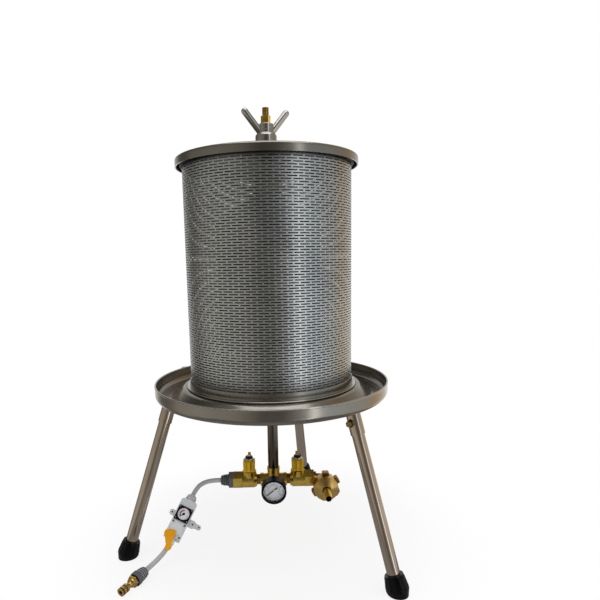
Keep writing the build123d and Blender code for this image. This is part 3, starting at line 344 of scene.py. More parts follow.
def wrapped(name, rows, columns, place, material, ends=None, **ways):
    """Piece from rows that go round, closed on itself or by a face on each of the named end rows.

    Place gives the point for a row and a share of a turn.
    """
    points = [place(row, column / columns) for row in range(rows) for column in range(columns)]
    faces = [tuple(range((row + 1) * columns - 1, row * columns - 1, -1)) for row in ends or ()]
    for row in range(rows if ends is None else rows - 1):
        for column in range(columns):
            a = row * columns + column
            b = row * columns + (column + 1) % columns
            shift = columns * ((row + 1) % rows - row)
            faces.append((a, b, b + shift, a + shift))
    return mesh_object(name, points, faces, material, **ways)


def round_point(radius, share, height):
    """Point at a distance from the Z axis, at a share of a turn."""
    return Vector((radius * cos(share * tau), radius * sin(share * tau), height))


def turned(name, outline, material, columns=64, at=Matrix.Identity(4)):
    """Closed piece turned about its own Z axis from a ring of (radius, height) points in millimetres."""
    def place(row, share):
        radius, height = outline[row]
        return at @ round_point(radius * MM, share, height * MM)

    return wrapped(name, len(outline), columns, place, material, join=True, crisp=True)


def oval(radius, height, across, along, steps):
    """Points of an oval section for turned, round its own middle."""
    turns = [step * tau / steps for step in range(steps)]
    return [(radius + across * cos(turn), height + along * sin(turn)) for turn in turns]


def plates(name, outlines, at, low, high, material):
    """Thin flat plates in one piece, each from an outline in its own plane, in millimetres."""
    points = []
    faces = []
    for outline in outlines:
        first = len(points)
        count = len(outline)
        for height in (low, high):
            points += [at @ Vector((x * MM, y * MM, height * MM)) for x, y in outline]
        faces.append(tuple(range(first + count, first + 2 * count)))
        faces.append(tuple(range(first + count - 1, first - 1, -1)))
        for i in range(count):
            j = (i + 1) % count
            faces.append((first + i, first + j, first + count + j, first + count + i))
    return mesh_object(name, points, faces, material, smooth=False)


def polar(radius, degrees):
    """Point on a dial, from its middle."""
    return (radius * cos(radians(degrees)), radius * sin(radians(degrees)))


def spun(outline, degrees):
    """Outline turned about the middle of its dial."""
    cosine, sine = polar(1, degrees)
    return [(x * cosine - y * sine, x * sine + y * cosine) for x, y in outline]


def tick(degrees, inner, outer, width):
    """Outline of a radial mark on a dial."""
    half = width / 2
    return spun([(inner, -half), (outer, -half), (outer, half), (inner, half)], degrees)


def arc_band(first, last, inner, outer, steps):
    """A list with the one outline of a curved band on a dial."""
    angles = [first + (last - first) * i / steps for i in range(steps + 1)]
    return [[polar(outer, angle) for angle in angles] + [polar(inner, angle) for angle in reversed(angles)]]


def numeral(name, text, size, at, material):
    """Printed figure, centred on its place, as a mesh."""
    curve = bpy.data.curves.new(name, "FONT")
    curve.body = text
    curve.size = size
    curve.extrude = (PRINT_HIGH - PRINT_LOW) / 2 * MM
    curve.align_x = "CENTER"
    curve.align_y = "CENTER"
    writing = placed(name + "_text", curve)
    bpy.context.view_layer.update()
    mesh = bpy.data.meshes.new_from_object(writing.evaluated_get(bpy.context.evaluated_depsgraph_get()))
    bpy.data.objects.remove(writing)
    worked(mesh, material, smooth=False, join=True)
    mesh.transform(at)
    mesh.name = name
    return placed(name, mesh)


def gauge_frame(depth):
    """Frame on the gauge's axis, looking forward, at a depth in front of the manifold's axis."""
    return Matrix(((1, 0, 0, 0), (0, 0, -1, -depth), (0, 1, 0, MANIFOLD_HEIGHT), (0, 0, 0, 1)))


def regulator_frame():
    """Frame at the regulator's upper end: Z down its body, Y out of its face, X to the right."""
    top = Vector(UPPER_ROUTE[-1])
    along = (Vector(LOWER_ROUTE[0]) - top).normalized()
    facing = Vector(REGULATOR_FACING)
    face = (facing - along * facing.dot(along)).normalized()
    right = face.cross(along)
    return Matrix.Translation(top) @ Matrix((right, face, along)).transposed().to_4x4()


def on_face(x, along, out):
    """Frame on the regulator's face, with its own Z along the face's normal and Y up the body."""
    return regulator_frame() @ Matrix(((1, 0, 0, x), (0, 0, 1, out), (0, -1, 0, along), (0, 0, 0, 1)))


def leg_frames(radius, height):
    """Frames at the legs, at a distance from the press axis, each with its X outward."""
    for index in range(LEG_COUNT):
        turn = Matrix.Rotation(radians(LEG_AZIMUTH) + index * tau / LEG_COUNT, 4, "Z")
        yield turn @ Matrix.Translation((radius, 0, height))


# Operators

class PRESS_OT_stage(bpy.types.Operator):
    """Camera at the photograph's angle, soft studio light and a pale floor"""
    bl_idname = "press.stage"
    bl_label = "Stage"

    def execute(self, context):
        values = context.scene.press_stage
        self.camera(context, values)
        self.world(context, values)
        self.floor()
        self.lamps()
        context.scene.view_settings.view_transform = "Standard"
        return {"FINISHED"}

    def camera(self, context, values):
        data = bpy.data.cameras.new("photo_camera")
        data.lens = values.lens
        data.sensor_width = 36.0
        # The photograph was cropped off centre, so its optical axis isn't in its middle
        size = 600
        axis_x, axis_y = 277.66, 338.89
        data.shift_x = (size / 2 - axis_x) / size
        data.shift_y = (axis_y - size / 2) / size
        data.clip_start = 0.05
        aimed = (Matrix.Rotation(-values.yaw, 4, "Z") @ Matrix.Rotation(pi / 2 - values.pitch, 4, "X")
                 @ Matrix.Rotation(values.roll, 4, "Z"))
        camera = placed("photo_camera", data)
        camera.matrix_world = Matrix.Translation((0, -values.distance, values.height)) @ aimed
        context.scene.camera = camera

    def world(self, context, values):
        world = bpy.data.worlds.new("studio_white")
        tree = blank(world)
        # White to the eye. Metal mirrors the studio round it: a white sweep behind the press, a dark corner
        # behind the photographer, a dim warm wall on the left and a brighter, cooler one on the right
        path = node(tree, "LightPath").outputs
        split = node(tree, "SeparateXYZ", {0: node(tree, "TexCoord").outputs["Generated"]}).outputs
        bearing = calc(tree, "ARCTAN2", split["X"], split["Y"])
        turn = calc(tree, "MULTIPLY_ADD", bearing, 1 / tau, 0.5)
        stops = [(share, linear(code)) for share, code in STUDIO_WALLS]
        stops += [(share, (level, level, level, 1.0)) for share, level in STUDIO_WINDOW]
        walls = node(tree, "ValToRGB", {"Fac": turn}, ramp=stops)
        # Walls dim from just below the level of the eye to their tops
        strength = node(tree, "MapRange", {
            "Value": split["Z"], "From Min": -0.12, "From Max": 0.30, "To Min": 1.2 * values.room,
            "To Max": 0.6 * values.room})
        mirrored = node(tree, "Background", {"Color": walls, "Strength": strength})
        lit = node(tree, "Background", {"Color": WHITE, "Strength": values.ambient})
        white = node(tree, "Background", {"Color": WHITE, "Strength": 1.0})
        unseen = node(tree, "MixShader", {0: path["Is Glossy Ray"], 1: lit, 2: mirrored})
        both = node(tree, "MixShader", {0: seen_plainly(tree, path), 1: unseen, 2: white})
        node(tree, "OutputWorld", {"Surface": both})
        context.scene.world = world

    def floor(self):
        """Pale floor that fades to the white surroundings away from the press."""
        material = bpy.data.materials.new("pale_paper_floor")
        tree = blank(material)
        matt = node(tree, "BsdfDiffuse", {"Color": linear("#f7f7f7")})
        # White to the eye and through glass, and a dim sheet in metal
        path = node(tree, "LightPath").outputs
        plain = seen_plainly(tree, path)
        seen = calc(tree, "MAXIMUM", plain, path["Is Glossy Ray"])
        level = node(tree, "MapRange", {"Value": plain, "To Min": 0.22, "To Max": 1.0})
        white = node(tree, "Emission", {"Color": WHITE, "Strength": level})
        away = node(tree, "VectorMath", {0: node(tree, "TexCoord").outputs["Object"]}, operation="LENGTH")
        fade = node(tree, "MapRange", {
            "Value": away.outputs["Value"], "From Min": 0.25, "From Max": 0.53, "To Min": 0.82},
            interpolation_type="SMOOTHSTEP")
        both = node(tree, "MixShader", {0: calc(tree, "MULTIPLY", fade, seen), 1: matt, 2: white})
        node(tree, "OutputMaterial", {"Surface": both})
        # A sheet just wider than the shadow, so that only low pieces mirror it
        reach = 0.55
        corners = [(-reach, -reach, 0), (reach, -reach, 0), (reach, reach, 0), (-reach, reach, 0)]
        floor = mesh_object("pale_floor", corners, [(0, 1, 2, 3)], material.name)
        floor.location.z = -0.2 * MM

    def lamps(self):
        """Light for matt surfaces; metal mirrors only the sheet overhead, and the walls with their window."""
        for name, place, size, power, aim, mirrored in (
                ("window_strip", (1.45, -1.85, 1.05), (0.3, 1.5), 3, 0.55, False),
                ("side_strip", (1.75, 0.25, 0.95), (0.22, 1.5), 5, 0.55, False),
                ("left_sheet", (-1.7, -1.6, 1.2), (1.2, 1.2), 6, 0.4, False),
                ("top_sheet", (0.1, -0.3, 2.3), (1.8, 1.8), 14, 0.3, True)):
            data = bpy.data.lights.new(name, "AREA")
            data.shape = "RECTANGLE"
            data.size, data.size_y = size
            data.energy = power
            lamp = placed(name, data)
            lamp.location = place
            # Each is turned to a height on the press axis
            turned_to = Vector((0, 0, aim)) - Vector(place)
            lamp.rotation_euler = turned_to.to_track_quat("-Z", "Y").to_euler()
            lamp.visible_glossy = mirrored


class PRESS_OT_finishes(bpy.types.Operator):
    """Makes every finish and gives the solid pieces theirs"""
    bl_idname = "press.finishes"
    bl_label = "Finishes"

    def execute(self, context):
        colours = context.scene.press_colours
        # Spun stainless sheet, satin polished in rings: a soft grey-brown mirror with fine circular lines,
        # near black close to other pieces as painted shade with dirt
        satin_steel("spun_stainless", colours.steel, lines_round, (0.15, 0.25), spread=0.12, brushed=0.2,
                    shade_and_dirt="#211e1a", worn="juice_tray juice_spout press_lid cage_foot_ring")
        # Slotted stainless sheet, bright-rolled and left: smoother and cooler than the spun pieces, dark grey
        # under the lid's edge and near other pieces as painted shade with dirt
        satin_steel("rolled_stainless", "#c0c3c4", lines_upright, (0.28, 0.38), edge=0.15, shade_and_dirt="#242424",
                    worn="press_cage")
        # Drawn stainless tube, ground lengthwise: bright lines along the tube
        satin_steel("drawn_stainless", "#c4b4a4", lines_along_legs, (0.07, 0.12), grain=2.2, depth=0.0003,
                    spread=0.14, edge=0.0, share=0.6, worn="leg_sockets leg_tubes")
        # The same tube standing upright, darker
        satin_steel("ground_stainless", "#676057", lines_upright, (0.10, 0.20), grain=1.6, depth=0.003,
                    spread=0.25, share=0.6, worn="feed_pipe")
        # Turned stainless bar: tight turning rings, a little darker
        satin_steel("turned_stainless", "#afaa9d", lines_round, (0.20, 0.34),
                    worn="column_lock_nut bladder_clamps bladder_nut thrust_washer clamping_nut wing_rods "
                    "feed_socket centre_column")
        # Polished stainless bar and rims: a clear dark-grey mirror with hardly any lines
        satin_steel("polished_stainless", "#bab7b1", lines_upright, (0.10, 0.18), depth=0.002, spread=0.08,
                    edge=0.0)
        # Sheared stainless strip, left dull from the mill
        satin_steel("mill_stainless", "#9e9a92", lines_round, (0.22, 0.34), spread=0.12, edge=0.0)
        # A rolled edge, dull, coloured dark grey as painted shade where the lid's edge hides it
        satin_steel("shade_dark_stainless", "#3c3a37", lines_round, (0.60, 0.75), spread=0.12, edge=0.0,
                    worn="cage_top_rim")
        # Sand-cast brass, tumbled: olive gold, blotchy, slightly pitted, brown in corners as oxide and
        # painted shade
        coat("cast_brass", colours.brass, 0.9, 0.05, (0.13, 0.34), spread=0.42, patch=10, shade_and_dirt="#7c5626",
             worn="brass_tee valve_end_caps packing_nuts gauge_adapter union_nut hose_tail inlet_valve_body "
             "drain_valve_body inlet_stem drain_stem bleed_valve", Metallic=1.0)
        # Turned brass bar, oiled: browner and more even than the castings, darker brown in corners as painted
        # shade
        coat("turned_brass", "#dcb76e", 0.5, 0.012, (0.22, 0.36), spread=0.18, patch=10, shade_and_dirt="#96703a",
             worn="quick_connector", Metallic=1.0)
        # The same brass, darker and browner, near black in corners as painted shade
        coat("darker_brass", "#b98a44", 0.9, 0.05, (0.24, 0.44), spread=0.42, patch=8, shade_and_dirt="#24140a",
             worn="hex_nipples drain_elbow bleed_cap", Metallic=1.0)
        # Yellow-passivated zinc on steel bolts: dull bronze with an olive cast, near black in corners as
        # painted shade
        coat("passivated_zinc", "#8b7d50", 0.5, 0.012, (0.26, 0.42), spread=0.30, patch=6, shade_and_dirt="#2e2616",
             worn="clamp_nuts clamp_bolts", Metallic=1.0)
        # Vulcanised rubber of the feet, black and fairly shiny in uneven patches
        coat("vulcanised_rubber", "#030304", 0.6, 0.02, (0.16, 0.30), spread=0.20, patch=12,
             worn="rubber_feet", Specular_IOR_Level=0.22)
        # Moulded rubber, chalky matt black with a faint bloom
        coat("moulded_rubber", "#070708", 0.6, 0.03, (0.50, 0.75), spread=0.35, edge=0.8, patch=15,
             worn="lid_gasket connector_seal bladder", Specular_IOR_Level=0.15)
        # Moulded ABS, black, fine spark-eroded grain
        coat("black_abs", "#070709", 0.35, 0.02, (0.34, 0.50),
             worn="gauge_case gauge_needle regulator_frame regulator_needle", Specular_IOR_Level=0.2)
        # Enamelled dial plate, cool white with a slight unevenness
        coat("enamelled_dial", "#f1f3fa", 2.0, 0.004, (0.35, 0.50), spread=0.03,
             worn="gauge_dial regulator_dial")
        # Moulded glass-filled nylon, slate grey, faintly mottled, near black in corners as painted shade
        coat("glass_filled_nylon", "#5c5d62", 0.5, 0.03, (0.42, 0.58), spread=0.18, patch=8, shade_and_dirt="#1c1c1f",
             worn="inlet_gland connector_gland")
        # The same nylon in a paler grey, on the connector gland's ribs, dark in corners as painted shade
        coat("paler_nylon", "#8d8e94", 0.5, 0.03, (0.42, 0.58), spread=0.18, patch=8, shade_and_dirt="#2c2c30")
        # Extruded polyethylene hose, light grey and waxy
        coat("polyethylene_hose", "#bababa", 0.8, 0.01, (0.34, 0.48), spread=0.08,
             worn="upper_hose lower_hose")
        # Injection-moulded acetal, off-white with a low sheen, grey in its creases and corners as painted
        # shade
        coat("white_acetal", colours.regulator, 0.6, 0.015, (0.34, 0.50), spread=0.06, shade_and_dirt="#8e9096",
             worn="regulator_union regulator_body regulator_cover")
        # Powder coat on cast zinc, ochre yellow with orange peel, dark brown at its foot and in corners as
        # painted shade
        coat("ochre_powder_coat", colours.handle, 1.4, 0.06, (0.34, 0.50), spread=0.18, edge=0.8, patch=14,
             shade_and_dirt="#3e2406", worn="inlet_handle drain_handle", Specular_IOR_Level=0.3)
        # Moulded ABS, amber, glossy, deeper orange in corners as painted shade
        coat("amber_abs", colours.lever, 0.8, 0.01, (0.28, 0.40), spread=0.12, shade_and_dirt="#b06a04",
             worn="regulator_lever", Specular_IOR_Level=0.2)
        # Black-oxide steel, oily near-black with brown patches
        coat("black_oxide_steel", "#2a2720", 0.5, 0.02, (0.34, 0.50), spread=0.35, patch=6,
             worn="regulator_screws inlet_handle_nut drain_handle_nut", Metallic=0.9)
        # Hard chrome on brass, bright
        coat("hard_chrome", "#b9bcc0", 0.5, 0.004, (0.06, 0.14), spread=0.06, worn="inlet_ball drain_ball",
             Metallic=1.0)
        # Zinc-plated steel, pale blue grey, near black in recesses and corners as painted shade
        coat("zinc_plate", "#c6c8c6", 0.5, 0.01, (0.20, 0.36), spread=0.20, patch=4, shade_and_dirt="#2a2b2c",
             Metallic=1.0)
        # Acrylic window, clear
        coat("clear_acrylic", "#ffffff", 4.0, 0.002, (0.02, 0.05), spread=0.0, worn="gauge_lens", IOR=1.49,
             Transmission_Weight=1.0)
        # Printing inks on the dials, thin and even
        for ink, code in (("blue_black_ink", "#34406a"), ("red_ink", "#a8452c"), ("black_ink", "#14161c")):
            coat(ink, code, 0.3, 0.002, (0.4, 0.5), spread=0.15)
        return {"FINISHED"}


class PRESS_OT_hoses(bpy.types.Operator):
    """The two stretches of hose, with the regulator between them and the tap connector at the end"""
    bl_idname = "press.hoses"
    bl_label = "Hoses"

    def execute(self, context):
        diameter = context.scene.press_soft.hose_diameter
        upper = self.hose("feed_hose_upper", UPPER_ROUTE, diameter)
        settle(upper, "base", "hose_plastic", "upper_hose")
        lower = self.hose("feed_hose_lower", LOWER_ROUTE, diameter)
        settle(lower, "base", "hose_plastic", "lower_hose")
        return {"FINISHED"}

    def hose(self, name, route, diameter):
        """Round hose along a route's control points."""
        curve = bpy.data.curves.new(name, "CURVE")
        curve.dimensions = "3D"
        spline = curve.splines.new("NURBS")
        spline.points.add(len(route) - 1)
        for point, place in zip(spline.points, route):
            point.co = (*place, 1.0)
        spline.order_u = 3
        spline.use_endpoint_u = True
        curve.resolution_u = 16
        curve.bevel_depth = diameter / 2
        curve.bevel_resolution = 6
        curve.use_fill_caps = True
        curve.materials.append(bpy.data.materials["polyethylene_hose"])
        return placed(name, curve)


class PRESS_OT_cage(bpy.types.Operator):
    """Cage sheet with its true rows of staggered slots, and the hem and flange at its foot"""
    bl_idname = "press.cage"
    bl_label = "Cage"

    def execute(self, context):
        sizes = context.scene.press_cage
        low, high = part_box("press_cage")
        outer = high.x
        pitch = tau / sizes.columns
        bridge = pitch - sizes.slot_length / outer
        angles = []
        for column in range(sizes.columns):
            for middle in (0.0, pitch / 2):
                angles += [column * pitch + middle - bridge / 2, column * pitch + middle + bridge / 2]
        rows = int((high.z - low.z - sizes.low_band - sizes.high_band) / sizes.row_pitch)

        def levels(draft):
            bases = [low.z + sizes.low_band + row * sizes.row_pitch for row in range(rows)]
            sides = [base + side for base in bases for side in (draft, sizes.slot_height - draft)]
            return [low.z, *sides, high.z]

        heights = levels(0.0)
        count = len(angles)
        layer = count * len(heights)
        points = []
        for radius, layer_heights in ((outer, heights), (outer - sizes.sheet, levels(sizes.slot_draft))):
            for height in layer_heights:
                points += [(radius * cos(a), radius * sin(a), height) for a in angles]
        faces = []
        for level in range(len(heights) - 1):
            slotted = level % 2 == 1
            for j in range(count):
                a, b = level * count + j, level * count + (j + 1) % count
                c, d = b + count, a + count
                # Bridges between slots are staggered from row to row
                if not slotted or j % 4 == 2 * (level // 2 % 2):
                    faces += [(a, b, c, d), (layer + b, layer + a, layer + d, layer + c)]
                    sides = [(a, d), (c, b)] if slotted else []
                else:
                    sides = [(b, a), (d, c)]
                faces += [(p, q, layer + q, layer + p) for p, q in sides]
        for ring in (0, layer - count):
            for j in range(count):
                a, b = ring + j, ring + (j + 1) % count
                faces.append((a, b, layer + b, layer + a))
        cage = mesh_object("slotted_cage_sheet", points, faces, "rolled_stainless", crisp=True)
        settle(cage, "cage", "satin_stainless", "press_cage")
        # Upright hem round the foot of the sheet, on a thin flange with a rounded lip
        at = Matrix.Translation((0, 0, low.z))
        hem = [(172.1, 0.0), (174.8, 0.0), (174.2, 2.0), (173.7, 5.5), (173.5, 13.0), (173.1, 14.0),
               (172.1, 14.0)]
        flange = [(158.0, -3.0), (181.0, -3.0), (181.7, -2.4), (182.0, -1.4), (181.7, -0.4), (181.0, 0.2),
                  (179.8, 0.3), (178.0, -0.1), (158.0, -0.1)]
        for name, outline, finish in (("cage_foot_hem", hem, "mill_stainless"),
                                      ("cage_foot_flange", flange, "polished_stainless")):
            settle(turned(name, outline, finish, 192, at), "cage", "satin_stainless", "cage_foot_ring")
        return {"FINISHED"}


class PRESS_OT_bladder(bpy.types.Operator):
    """Empty rubber bladder, slack in soft folds between its two drawn-in necks"""
    bl_idname = "press.bladder"
    bl_label = "Bladder"

    def execute(self, context):
        sizes = context.scene.press_soft
        low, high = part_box("bladder")
        neck = 0.029
        wide = high.x
        neck_length = 0.026
        shoulder = 0.064
        bore = 0.0212
        rows = []
        steps = 90
        columns = 112
        for step in range(steps + 1):
            height = low.z + (high.z - low.z) * step / steps
            end = min(height - low.z, high.z - height) - neck_length
            share = max(0.0, min(1.0, end / shoulder))
            share = 0.7 * share + 0.3 * share * share * (3 - 2 * share)
            rows.append((neck + (wide - neck) * share, height, share))
        rows += [(bore, high.z, 0.0), (bore, low.z, 0.0)]

        def place(row, share):
            radius, height, slack = rows[row]
            angle = share * tau
            # Folds sway on their way up
            lean = 1.3 * sin(7.0 * (height - low.z) / (high.z - low.z))
            fold = 0.5 - 0.5 * cos(sizes.bladder_folds * angle + lean)
            ripple = 0.5 - 0.5 * cos(3 * angle - 2 * lean)
            radius -= slack * sizes.fold_depth * (0.7 * fold + 0.3 * ripple)
            return round_point(radius, share, height)

        bladder = wrapped("rubber_bladder", len(rows), columns, place, "moulded_rubber", crisp=True)
        settle(bladder, "base", "black_rubber", "bladder")
        return {"FINISHED"}


class PRESS_OT_column(bpy.types.Operator):
    """Water column with its flange, and the threaded clamping rod above it"""
    bl_idname = "press.column"
    bl_label = "Column"

    def execute(self, context):
        pitch = context.scene.press_soft.thread_pitch
        low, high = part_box("centre_column")
        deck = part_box("column_lock_nut")[1].z + 0.002
        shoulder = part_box("bladder_nut")[1].z
        bore = 0.0097
        pipe = 0.0117
        shank = 0.0165
        shank_end = deck - 0.036
        flange = 0.058
        flange_top = deck + 0.006
        tube = 0.021
        rod = 0.0112
        vent = 0.003
        crest = 0.01195
        root = 0.0108
        steps = 8
        outline = [(bore, low.z), (pipe, low.z), (pipe, shank_end), (shank, shank_end), (shank, deck),
                   (flange, deck), (flange, flange_top), (tube, flange_top), (tube, shoulder),
                   (rod, shoulder), (rod, shoulder + 0.004)]
        first = len(outline)
        turns = int((high.z - shoulder - 0.010) / pitch)
        for step in range(turns * steps + 1):
            outline.append((None, shoulder + 0.005 + step * pitch / steps))
        outline += [(rod, high.z - 0.004), (root, high.z), (vent, high.z), (vent, shoulder),
                    (bore, shoulder)]

        def place(row, share):
            radius, height = outline[row]
            if radius is None:
                phase = ((row - first) / steps - share) % 1.0
                rise = min(1.0, max(0.0, 2.2 * abs(2 * phase - 1) - 0.6))
                radius = root + (crest - root) * rise
            return round_point(radius, share, height)

        column = wrapped("column_and_rod", len(outline), 64, place, "turned_stainless", crisp=True)
        settle(column, "base", "satin_stainless", "centre_column")
        return {"FINISHED"}


class PRESS_OT_wing_nut(bpy.types.Operator):
    """Clamping nut turned with grooves and a rounded shoulder, and its two round wings"""
    bl_idname = "press.wing_nut"
    bl_label = "Wing nut"

    def execute(self, context):
        foot = Matrix.Translation((0, 0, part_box("clamping_nut")[0].z))
        outline = [(12.1, 0.0), (21.4, 0.0), (22.0, 0.6), (22.0, 24.5), (21.2, 27.0), (19.2, 29.4),
                   (17.2, 30.4), (16.3, 31.0), (16.0, 32.0), (16.0, 35.6), (15.3, 36.0), (15.3, 36.7),
                   (16.0, 37.1), (16.0, 41.8), (15.4, 42.1), (15.4, 42.7), (16.0, 43.0), (16.0, 47.6),
                   (15.1, 48.5), (12.1, 48.5)]
        nut = turned("turned_wing_nut", outline, "polished_stainless", 96, foot)
        settle(nut, "wing_nut", "satin_stainless", "clamping_nut")
        for index in range(2):
            at = foot @ Matrix.Rotation(radians(16 + 180 * index), 4, "Z")
            settle(self.wing("nut_wing_%d" % index, at), "wing_nut", "satin_stainless", "wing_rods")
        return {"FINISHED"}

    def wing(self, name, at):
        """Round bar from inside the hub's wall out and up to a domed tip."""
        thick = 0.0070
        seat = 0.0140
        root = Vector((seat, 0, 0.0355))
        tip = Vector((0.0430, 0, 0.0710))
        along = (tip - root).normalized()
        over = Vector((-along.z, 0, along.x))
        reach = (tip - root).length
        dome = 8

        def place(row, share):
            angle = share * tau
            ring = thick
            travel = reach
            if row == 0:
                inset = seat - sqrt(seat ** 2 - (thick * sin(angle)) ** 2)
                travel = (thick * along.z * cos(angle) - inset) / along.x
            elif row > 1:
                rise = (row - 1) / dome * pi / 2
                ring = thick * cos(rise * 0.98)
                travel = reach + thick * sin(rise)
            out = over * (ring * cos(angle)) + Vector((0, ring * sin(angle), 0))
            return at @ (root + along * travel + out)

        return wrapped(name, dome + 2, 32, place, "polished_stainless", ends=(0, dome + 1), crisp=True)


class PRESS_OT_union_nut(bpy.types.Operator):
    """Union nut of the drain: a bright turned shell with darker cast lugs round its back"""
    bl_idname = "press.union_nut"
    bl_label = "Union nut"

    def execute(self, context):
        low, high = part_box("union_nut")
        at = Matrix.Translation(((low.x + high.x) / 2, 0, 0)) @ gauge_frame(0.0)
        back = 36.0
        outline = [(18.8, back), (26.3, back), (26.3, 60.0), (26.0, 61.1), (25.0, 61.8), (16.0, 66.2),
                   (9.8, 69.0), (8.9, 69.0), (8.9, 58.0), (18.8, 58.0)]
        shell = turned("union_shell", outline, "turned_brass", 72, at)
        settle(shell, "union_nut_body", "brass", "union_nut")
        lug = [(25.5, -7.5), (29.5, -7.5), (31.1, -6.9), (31.9, -5.5), (32.0, 0.0), (31.9, 5.5), (31.1, 6.9),
               (29.5, 7.5), (25.5, 7.5)]
        lugs = [spun(lug, 30 + 60 * index) for index in range(6)]
        ring = plates("union_lugs", lugs, at, back, 49.0, "darker_brass")
        settle(ring, "union_nut_body", "brass", "union_nut")
        return {"FINISHED"}


class PRESS_OT_gauge_print(bpy.types.Operator):
    """Printed scales and figures of the pressure gauge, its pointer and the pointer's boss"""
    bl_idname = "press.gauge_print"
    bl_label = "Gauge print"

    def execute(self, context):
        at = gauge_frame(-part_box("gauge_dial")[0].y)
        zero = 218.0
        sweep = 256.0
        bars = 4
        marks = arc_band(zero, zero - sweep, 21.2, 21.7, 60)
        for step in range(bars * 10 + 1):
            foot, width = (17.2, 1.2) if step % 10 == 0 else (18.2, 0.8) if step % 5 == 0 else (19.2, 0.45)
            marks.append(tick(zero - sweep * step / (bars * 10), foot, 21.4, width))
        inner = arc_band(zero, zero - sweep, 11.7, 12.1, 60)
        for step in range(bars * 5 + 1):
            inner.append(tick(zero - sweep * step / (bars * 5), 10.8 if step % 5 else 9.8, 11.9, 0.6))
        for name, outlines in (("gauge_scale", marks), ("gauge_inner_scale", inner)):
            settle(plates(name, outlines, at, PRINT_LOW, PRINT_HIGH, "blue_black_ink"), "base", "white_dial")
        for step in range(bars + 1):
            x, y = polar(15.4 * MM, zero - sweep * step / bars)
            place = at @ Matrix.Translation((x, y, (PRINT_LOW + PRINT_HIGH) / 2 * MM))
            figure = numeral("gauge_figure_%d" % step, str(step), 5.8 * MM, place, "black_ink")
            settle(figure, "base", "white_dial")
        # Broad pointer with a spade tail, and a low brass boss on its hub
        hub = gauge_frame(-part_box("gauge_needle")[0].y)
        turn = Matrix.Rotation(radians(zero), 4, "Z")
        side = [(20.5, 0.4), (3.0, 1.6), (-4.0, 1.3), (-5.5, 2.3), (-8.5, 1.7)]
        shape = side + [(x, -y) for x, y in reversed(side)]
        pointer = plates("gauge_pointer", [shape], hub @ turn, -0.8, 0.0, "black_ink")
        settle(pointer, "gauge_needle_body", "black_plastic", "gauge_needle")
        outline = [(0.0, 0.1), (2.1, 0.1), (2.1, 0.6), (1.4, 1.0), (0.0, 1.1)]
        settle(turned("needle_boss", outline, "turned_brass", 24, hub), "gauge_needle_body", "brass")
        return {"FINISHED"}


class PRESS_OT_regulator_trim(bpy.types.Operator):
    """Printed dial, cross-head screws and frame rivets of the regulator, and black rubber discs on its ears
    that paint the shade of holes
    """
    bl_idname = "press.regulator_trim"
    bl_label = "Regulator trim"

    def execute(self, context):
        middle = 0.047
        dial = on_face(0.0, middle, 0.0138)
        zero = 235
        sweep = 290
        steps = 24
        marks = arc_band(zero, zero - sweep, 9.2, 9.4, 40)
        for step in range(steps + 1):
            outer, width = (10.4, 0.25) if step % 4 else (11.2, 0.45)
            marks.append(tick(zero - sweep * step / steps, 9.4, outer, width))
        scale = plates("regulator_scale", marks, dial, PRINT_LOW, PRINT_HIGH, "black_ink")
        settle(scale, "base", "white_dial")
        red = arc_band(zero, 100, 5.6, 8.4, 24)
        settle(plates("regulator_red_band", red, dial, PRINT_LOW, 0.04, "red_ink"), "base", "white_dial")
        for index, (x, along) in enumerate(self.screw_places()):
            self.screw("regulator_screw_%d" % index, on_face(x, along, 0.0150))
        rivet = [(0.0, -0.3), (1.4, -0.3), (1.4, 0.2), (1.0, 0.6), (0.0, 0.7)]
        rivets = [(x, middle + z, 0.0160) for z in (-0.0124, 0.0124) for x in (-0.0129, 0.0129)]
        # Black rubber discs in the right ear's two holes and on the left ear's face: painted shade of holes
        hole_shade = [(0.0, -1.8), (1.75, -1.8), (1.75, 1.8), (0.0, 1.8)]
        hole_shades = [(0.027, 0.053, -0.009), (0.042, 0.053, -0.009), (-0.024, 0.047, -0.009)]
        for name, outline, finish, slot, places in (
                ("frame_rivet", rivet, "zinc_plate", "dark_steel", rivets),
                ("hole_shade_disc", hole_shade, "moulded_rubber", "black_rubber", hole_shades)):
            for index, place in enumerate(places):
                made = turned("%s_%d" % (name, index), outline, finish, 24, on_face(*place))
                settle(made, "base", slot)
        return {"FINISHED"}

    def screw_places(self):
        """The four corners of the cover, 3.4 mm inside its edges."""
        body = (Vector(LOWER_ROUTE[0]) - Vector(UPPER_ROUTE[-1])).length
        end_cap = 0.012
        gap = 0.0003
        half = 0.0165
        inset = half - 0.0034
        middle = body - end_cap - gap - half
        return [(x, middle + z) for x in (-inset, inset) for z in (-inset, inset)]

    def screw(self, name, at):
        """Domed head with a cross recess."""
        rings = 9
        radius = 0.0024
        crown = 0.0012
        recess = 0.0006
        half_width = 0.00036
        arm = 0.0016

        def place(row, share):
            reach = radius * min(row, rings) / rings
            x, y = polar(reach, share * 360)
            if row > rings:
                return at @ Vector((x, y, 0.0))
            cross = min(abs(x), abs(y)) < half_width and max(abs(x), abs(y)) < arm
            dome = crown * (1 - 0.55 * (reach / radius) ** 3)
            return at @ Vector((x, y, dome - (recess if cross else 0.0)))

        head = wrapped(name, rings + 2, 48, place, "zinc_plate", ends=(rings + 1,), join=True, crisp=True)
        settle(head, "base", "dark_steel", "regulator_screws")


